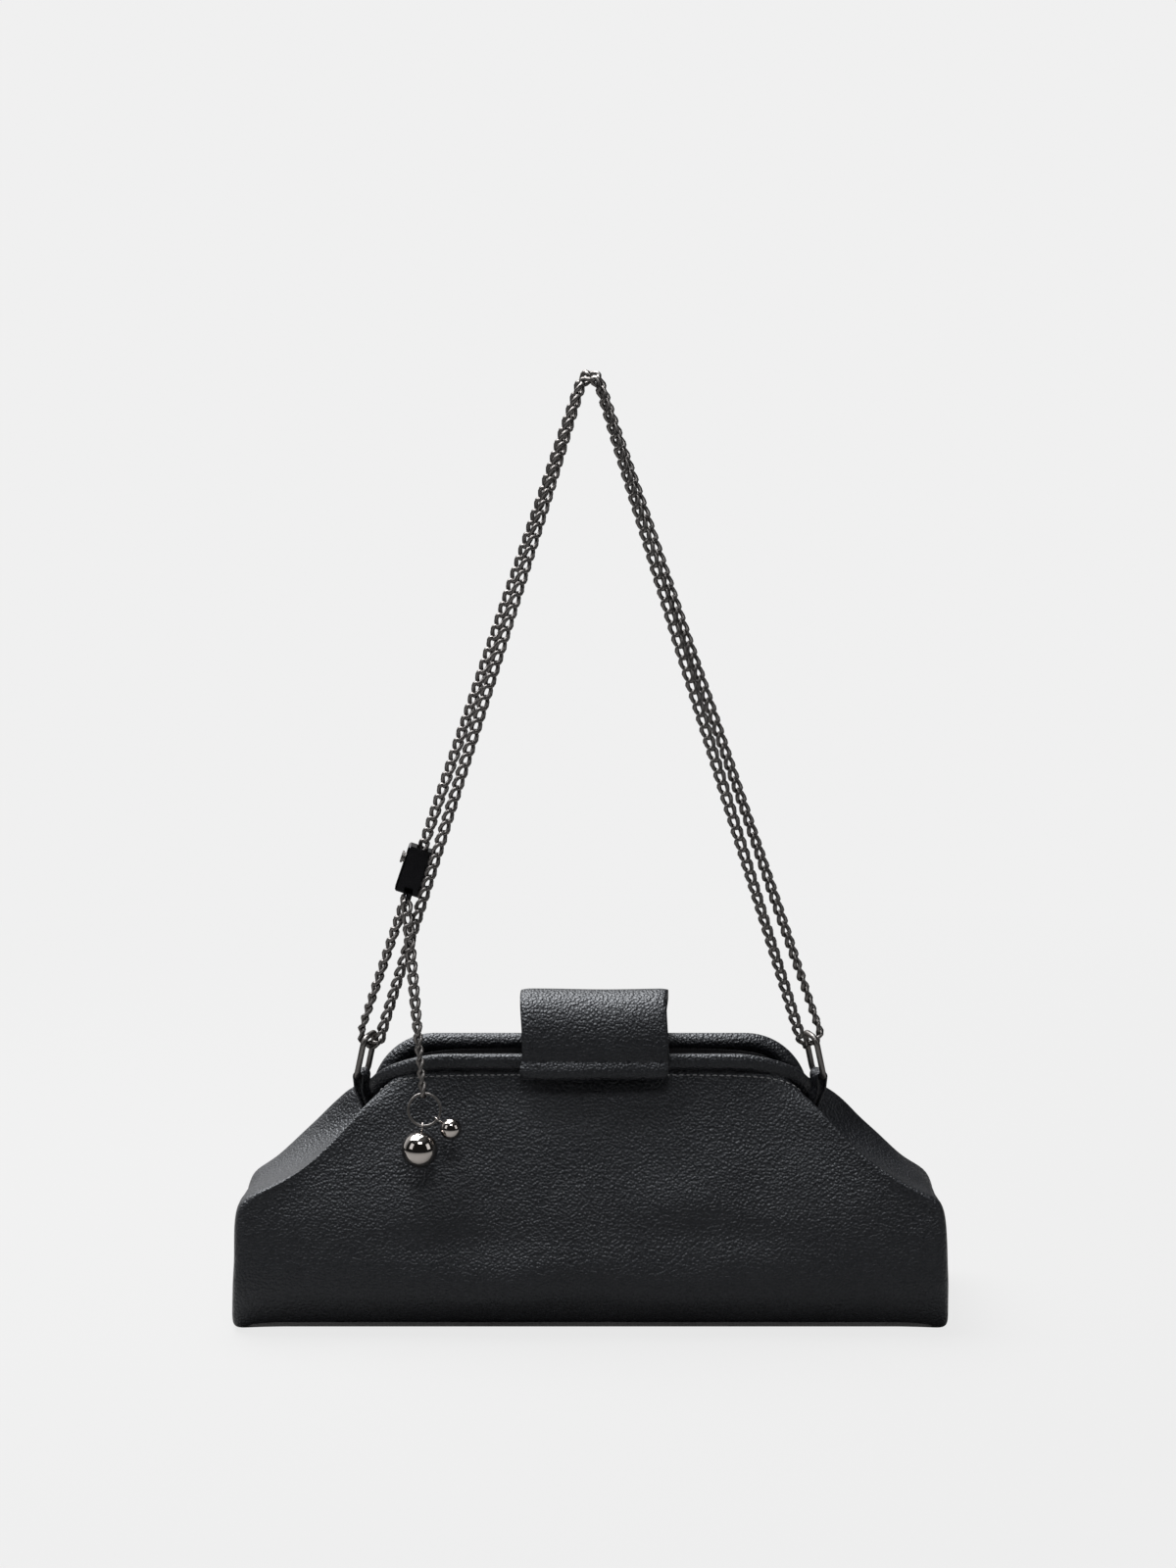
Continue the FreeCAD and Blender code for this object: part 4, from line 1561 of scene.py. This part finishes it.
@dataclass
class RingEnds:
    """The oval rings and the leather loops that hold them."""

    finishes: Finishes
    plan: StrapPlan
    loop_width: float = 7.4
    loop_wall: float = 1.5
    loop_tail: float = 22.0
    loop_lean: float = 6.0
    loop_straight: float = 6.0
    loop_gap: float = 0.25
    loop_pinch: float = 0.45
    bend_start: Point = (0.0, 0.0, 102.5 * MM)
    bend_end: Point = (0.0, 0.0, 107.5 * MM)
    corner_steps: int = 8
    leg_steps: int = 14
    bow_steps: int = 17
    ring_sides: int = 14
    loop_sides: int = 28
    loop_squareness: float = 5.0

    def ring_path(self) -> Points:
        """Middle line of a ring's wire.

        Returns:
            Points about the ring's foot.
        """
        plan = self.plan
        half = plan.ring_width / 2
        radius = plan.ring_corner
        points = []
        for corner_y, corner_z, begin in (
            (half - radius, radius, -0.5),
            (half - radius, plan.ring_span - radius, 0.0),
            (radius - half, plan.ring_span - radius, 0.5),
            (radius - half, radius, 1.0),
        ):
            for share in np.linspace(0, 0.5, self.corner_steps):
                turn = (begin + share) * math.pi
                y, z = corner_y + radius * math.cos(turn), corner_z + radius * math.sin(turn)
                points.append((0.0, y, z))
        return np.array(points)

    def build(self) -> None:
        """Make both rings and both loops."""
        plan = self.plan
        lean = turned(self.ring_path(), "Y", -plan.ring_lean)
        plane = turned(np.array([1.0, 0.0, 0.0]), "Y", -plan.ring_lean)
        section = rounded_section(plan.ring_wire * MM, plan.ring_wire * MM, self.ring_sides)
        origin = np.zeros(3)
        for end, side in ((1, "right"), (-1, "left")):
            path = plan.at_ring(lean, end)
            normal = (plan.at_ring(plane, end) - plan.at_ring(origin, end)) / MM
            ring = sweep(side + "_ring_wire", path, section, normal, True)
            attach(dress(ring, self.finishes.gunmetal, side + "_ring"), Body.STRAP.value)
            self.build_loop(end, side)

    def build_loop(self, end: int, side: str) -> None:
        """Make one leather loop.

        Args:
            end: 1 for the right-hand end, -1 for the left.
            side: The end's name.
        """
        reach = self.plan.ring_wire / 2 + self.loop_gap + self.loop_wall / 2
        legs = []
        for share in np.linspace(0, 1, self.leg_steps, endpoint=False):
            z = -self.loop_tail * (1 - share)
            pinch = self.loop_pinch + (1 - self.loop_pinch) * share**2
            bent = max(-z - self.loop_straight, 0.0) / (self.loop_tail - self.loop_straight)
            legs.append((reach * pinch, -self.loop_lean * bent, z))
        bend = np.linspace(math.pi, 0, self.bow_steps)
        bow = [(reach * math.cos(turn), reach * math.sin(turn)) for turn in bend]
        near = [(slip - x, z) for x, slip, z in legs]
        far = [(slip + x, z) for x, slip, z in reversed(legs)]
        line = near + bow + far
        path = self.plan.at_ring(np.array([(x, 0.0, z) for x, z in line]), end)
        foot, beside = self.plan.at_ring(np.array([(0.0, 0.0, 0.0), (0.0, 1.0, 0.0)]), end)
        wall, width = self.loop_wall * MM, self.loop_width * MM
        section = rounded_section(wall, width, self.loop_sides, self.loop_squareness)
        loop = sweep(side + "_loop_leather", path, section, (beside - foot) / MM, False)
        dress(loop, self.finishes.leather, side + "_ring_loop")
        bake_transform(loop)


# Charms

@dataclass
class Charms:
    """The split ring and the two polished balls under the tail."""

    finishes: Finishes
    centre: Point = (-76.05, -37.005, 103.783)
    normal: Point = (0.0, -0.973403, 0.229098)
    down: Point = (0.0902, -0.2282, -0.9694)
    ring_radius: float = 7.4
    ring_wire: float = 1.5
    groove_depth: float = 0.16
    groove_width: float = 0.03
    large_radius: float = 8.4
    large_angle: float = 102.0
    small_radius: float = 5.0
    small_angle: float = 41.0
    eye_radius: float = 1.9
    eye_wire: float = 0.9
    eye_clearance: float = 0.2
    eye_sink: float = 0.3
    eye_steps: int = 24
    eye_sides: int = 10
    ring_steps: int = 72
    ring_sides: int = 16
    ball_columns: int = 56
    ball_rows: int = 32

    def frame(self) -> tuple[np.ndarray, np.ndarray, np.ndarray]:
        """The split ring's own directions.

        Returns:
            Unit directions across the ring, down it and through it.
        """
        through = np.array(self.normal) / np.linalg.norm(self.normal)
        down = np.array(self.down)
        down = down - through * down.dot(through)
        down /= np.linalg.norm(down)
        across = np.array([1.0, 0.0, 0.0])
        across = across - down * across.dot(down)
        return across / np.linalg.norm(across), down, through

    def ring(self) -> Piece:
        """The split ring: two close turns of wire with a shallow groove between.

        Returns:
            The ring.
        """
        across, down, through = self.frame()
        path = circle(np.array(self.centre), self.ring_radius, across, down, self.ring_steps)
        angle = full_turn(self.ring_sides)
        groove = 1 - self.groove_depth * np.exp(-((np.abs(np.cos(angle)) - 1) ** 2) / self.groove_width)
        half = self.ring_wire / 2 * MM
        section = np.stack([np.cos(angle) * half * groove, np.sin(angle) * half], axis=1)
        return sweep("charm_ring_wire", path * MM, section, through, True)

    def ball(self, name: str, radius: float, angle: float) -> Piece:
        """A ball with its soldered eye.

        Args:
            name: The piece's name.
            radius: The ball's radius in millimetres.
            angle: Degrees round the ring from its right-hand side towards its foot.

        Returns:
            The ball.
        """
        across, down, through = self.frame()
        turn = math.radians(angle)
        outward = across * math.cos(turn) + down * math.sin(turn)
        hang = (self.eye_radius - self.eye_wire / 2) - self.ring_wire / 2 - self.eye_clearance
        eye = np.array(self.centre) + outward * (self.ring_radius + hang)
        middle = eye + outward * (self.eye_radius + self.eye_wire / 2 - self.eye_sink + radius)
        work = bmesh.new()
        bmesh.ops.create_uvsphere(
            work, u_segments=self.ball_columns, v_segments=self.ball_rows, radius=radius * MM
        )
        ball = Vector(outward).to_track_quat("Z", "Y").to_matrix().to_4x4()
        bmesh.ops.transform(work, matrix=Matrix.Translation(Vector(middle) * MM) @ ball, verts=work.verts)
        mesh = bpy.data.meshes.new(name)
        path = circle(eye, self.eye_radius, outward, through, self.eye_steps)
        wire = rounded_section(self.eye_wire * MM, self.eye_wire * MM, self.eye_sides)
        loop = sweep(name + "_eye", path * MM, wire, np.cross(outward, through), True)
        work.from_mesh(loop.data)
        work.to_mesh(mesh)
        work.free()
        bpy.data.objects.remove(loop)
        mesh.shade_smooth()
        return scene_object(name, mesh)

    def build(self) -> None:
        """Make the ring and both balls."""
        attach(dress(self.ring(), self.finishes.gunmetal, "charm_ring"), Body.CHARM.value)
        large = self.ball("large_polished_ball", self.large_radius, self.large_angle)
        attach(dress(large, self.finishes.mirror, "large_ball"), Body.LARGE_BALL.value)
        small = self.ball("small_polished_ball", self.small_radius, self.small_angle)
        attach(dress(small, self.finishes.mirror, "small_ball"), Body.SMALL_BALL.value)


# Studio

@dataclass(frozen=True)
class Lamp:
    """One soft area lamp: where it stands, what it points at, its two sides and its watts."""

    name: str
    place: Point
    target: Point
    size: tuple[float, float]
    power: float

    def make(self) -> None:
        """Add the lamp to the scene."""
        lamp = bpy.data.lights.new(self.name, "AREA")
        lamp.shape = "RECTANGLE"
        lamp.size, lamp.size_y = self.size
        lamp.energy = self.power
        made = scene_object(self.name, lamp)
        made.location = self.place
        way = Vector(self.target) - Vector(self.place)
        made.rotation_euler = way.to_track_quat("-Z", "Y").to_euler()


LAMPS = (
    Lamp("overhead_soft", (-0.4, 0.38, 1.35), (0.0, 0.1, 0.1), (1.2, 1.1), 62.0),
    Lamp("left_soft", (-1.4, -0.9, 0.9), (0.0, 0.0, 0.15), (0.7, 1.0), 3.0),
    Lamp("right_soft", (1.4, -0.7, 0.8), (0.0, 0.0, 0.15), (0.7, 1.0), 3.0),
    Lamp("front_high", (0.05, -0.95, 1.5), (0.0, 0.0, 0.1), (0.6, 0.35), 6.5),
)


@dataclass
class Studio:
    """Pale floor, soft light and the camera at the photograph's angle."""

    backdrop: Colour = (0.871, 0.871, 0.871)
    near_floor: Colour = (0.32, 0.32, 0.32)
    # Painted pool of light and the painted dark beyond it: floor colours seen only by reflection and bounce
    # rays, bright round the bag out to pool_near, dark from pool_far
    painted_pool_light: Colour = (0.28, 0.277, 0.272)
    painted_dark_beyond_pool: Colour = (0.02, 0.02, 0.021)
    dark_room: Colour = (0.02, 0.019, 0.018)
    floor_reach: float = 6.0
    floor_drop: float = 0.4 * MM
    pool_near: float = 0.3
    pool_far: float = 0.95
    near_glow: float = 0.9
    behind_gain: float = 2.2
    side_middle: float = 0.66
    side_slope: float = 3.0
    above_start: float = 0.75
    above_gain: float = 0.8
    target: Point = (-0.001, 0.0, 0.249)
    distance: float = 1.71
    elevation: float = 10.0
    lens: float = 85.0
    sensor: float = 36.0

    def build(self) -> None:
        """Make the floor, the world, the lamps and the camera."""
        self.make_floor()
        self.make_world()
        for lamp in LAMPS:
            lamp.make()
        self.make_camera()
        bpy.context.scene.view_settings.view_transform = "Standard"

    def make_floor(self) -> None:
        """Floor that shows the backdrop's colour and a contact shadow; to reflections and bounce light it
        shows a painted pool of light round the bag that fades to painted shade further out.
        """
        signs = ((-1, -1), (1, -1), (1, 1), (-1, 1))
        corners = [(x * self.floor_reach, y * self.floor_reach, -self.floor_drop) for x, y in signs]
        floor = mesh_object("studio_floor", np.array(corners), [(0, 1, 2, 3)])
        material = bpy.data.materials.new("studio_floor")
        material.use_nodes = True
        sheet = NodeSheet(material.node_tree)
        path = sheet.node("ShaderNodeLightPath", {}, {})
        # Painted pool of light: reflection and bounce rays see the floor bright near the bag, fading to
        # painted shade with distance
        place = sheet.node("ShaderNodeVectorMath", {"operation": "LENGTH"}, {0: sheet.object_place()})
        beyond = sheet.value(place, "Value") - self.pool_near
        far = (beyond * (1.0 / (self.pool_far - self.pool_near))).clamped()
        pool = sheet.colour_mix(far, rgba(self.painted_pool_light), rgba(self.painted_dark_beyond_pool))
        camera = sheet.value(path, "Is Camera Ray")
        plain = sheet.colour_mix(camera, pool, rgba(self.near_floor))
        seen = camera * (self.near_glow + far * (1.0 - self.near_glow))
        matt = sheet.node("ShaderNodeBsdfDiffuse", {}, {"Color": plain})
        shown = sheet.node("ShaderNodeEmission", {}, {"Color": rgba(self.backdrop), "Strength": 1.0})
        mix = sheet.node("ShaderNodeMixShader", {}, {0: seen, 1: matt.outputs[0], 2: shown.outputs[0]})
        sheet.node("ShaderNodeOutputMaterial", {}, {"Surface": mix.outputs[0]})
        floor.data.materials.append(material)

    def make_world(self) -> None:
        """World that shows the backdrop's colour and lights from above, and from behind on the left."""
        world = bpy.data.worlds.new("studio")
        bpy.context.scene.world = world
        world.use_nodes = True
        sheet = NodeSheet(world.node_tree)
        path = sheet.node("ShaderNodeLightPath", {}, {})
        place = sheet.node("ShaderNodeTexCoord", {}, {})
        parts = sheet.node("ShaderNodeSeparateXYZ", {}, {0: place.outputs["Generated"]})
        x, y, z = (sheet.value(parts, axis) for axis in "XYZ")
        side = (self.side_middle - x * self.side_slope).clamped()
        behind = (y * self.behind_gain).clamped() * side
        above = ((z - self.above_start) * self.above_gain).clamped()
        room = sheet.colour_mix((behind + above).clamped(), rgba(self.dark_room), rgba(self.backdrop))
        seen = sheet.value(path, "Is Camera Ray")
        colour = sheet.colour_mix(seen, room, rgba(self.backdrop))
        shown = sheet.node("ShaderNodeBackground", {}, {"Color": colour, "Strength": 1.0})
        sheet.node("ShaderNodeOutputWorld", {}, {"Surface": shown.outputs[0]})

    def make_camera(self) -> None:
        """Add the camera and make it the scene's own."""
        lens = bpy.data.cameras.new("photo_camera")
        lens.lens = self.lens
        lens.sensor_width = self.sensor
        made = scene_object("photo_camera", lens)
        rise = math.radians(self.elevation)
        way = Vector((0.0, -math.cos(rise), math.sin(rise)))
        made.location = Vector(self.target) + way * self.distance
        made.rotation_euler = (-way).to_track_quat("-Z", "Y").to_euler()
        bpy.context.scene.camera = made


@dataclass
class ButtonSpring:
    """Wave spring under the stopper's button; the real one flattens as the button is pressed, this one
    keeps its rest shape.
    """

    finishes: Finishes
    radius: float = 1.8 * MM
    waves: int = 3
    wave_height: float = 0.3 * MM
    strip_width: float = 0.45 * MM
    strip_thickness: float = 0.2 * MM
    seat: float = 0.5 * MM
    strip_sides: int = 8
    strip_squareness: float = 4.0
    steps: int = 72

    def build(self) -> None:
        """Make the spring between its seat and the button."""
        centre = np.array(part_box("button_spring")).mean(axis=0)
        axis = np.array(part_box("stopper_button")).mean(axis=0) - centre
        axis /= np.linalg.norm(axis)
        first = np.cross(axis, (0.0, 1.0, 0.0))
        first /= np.linalg.norm(first)
        path = circle(centre, self.radius, first, np.cross(axis, first), self.steps)
        path += np.outer(self.wave_height * np.sin(full_turn(self.steps) * self.waves), axis)
        section = rounded_section(
            self.strip_width, self.strip_thickness, self.strip_sides, self.strip_squareness
        )
        spring = sweep("button_wave_spring", path, section, axis, True)
        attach(dress(spring, self.finishes.steel, "button_spring"), Body.STOPPER.value)
        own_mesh(spring)


def finish_kept_nodes(nodes: dict[str, Piece], finishes: Finishes) -> None:
    """Give the nodes that stay as they are their finishes.

    Args:
        nodes: The frame's nodes.
        finishes: The finishes.
    """
    plan = {
        "base_board": finishes.board,
        "left_hinge_pin": finishes.steel,
        "right_hinge_pin": finishes.steel,
        "front_magnet": finishes.steel,
        "flap_magnet": finishes.steel,
        "stopper_body": finishes.black_plate,
        "stopper_button": finishes.gunmetal,
    }
    for name, material in plan.items():
        node = nodes[name]
        node.data.materials.clear()
        node.data.materials.append(material)


def main() -> None:
    """Dress the bag piece by piece."""
    logging.basicConfig(level=logging.INFO, format="%(name)s: %(message)s")
    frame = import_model()
    finishes = Finishes()
    plan = StrapPlan()
    stitching = Stitching(finishes)
    Pouch(finishes).build(stitching)
    FrameCover(finishes, "front_frame", Body.FRONT_FRAME, -1, 37.0, FRONT_CURVE).build()
    FrameCover(finishes, "back_frame", Body.BAG, 1, -6.0, BACK_CURVE).build()
    Flap(finishes).build(stitching)
    RingEnds(finishes, plan).build()
    Chain(finishes, plan).build()
    Charms(finishes).build()
    ButtonSpring(finishes).build()
    finish_kept_nodes(frame["nodes"], finishes)
    Studio().build()


if __name__ == "__main__":
    main()
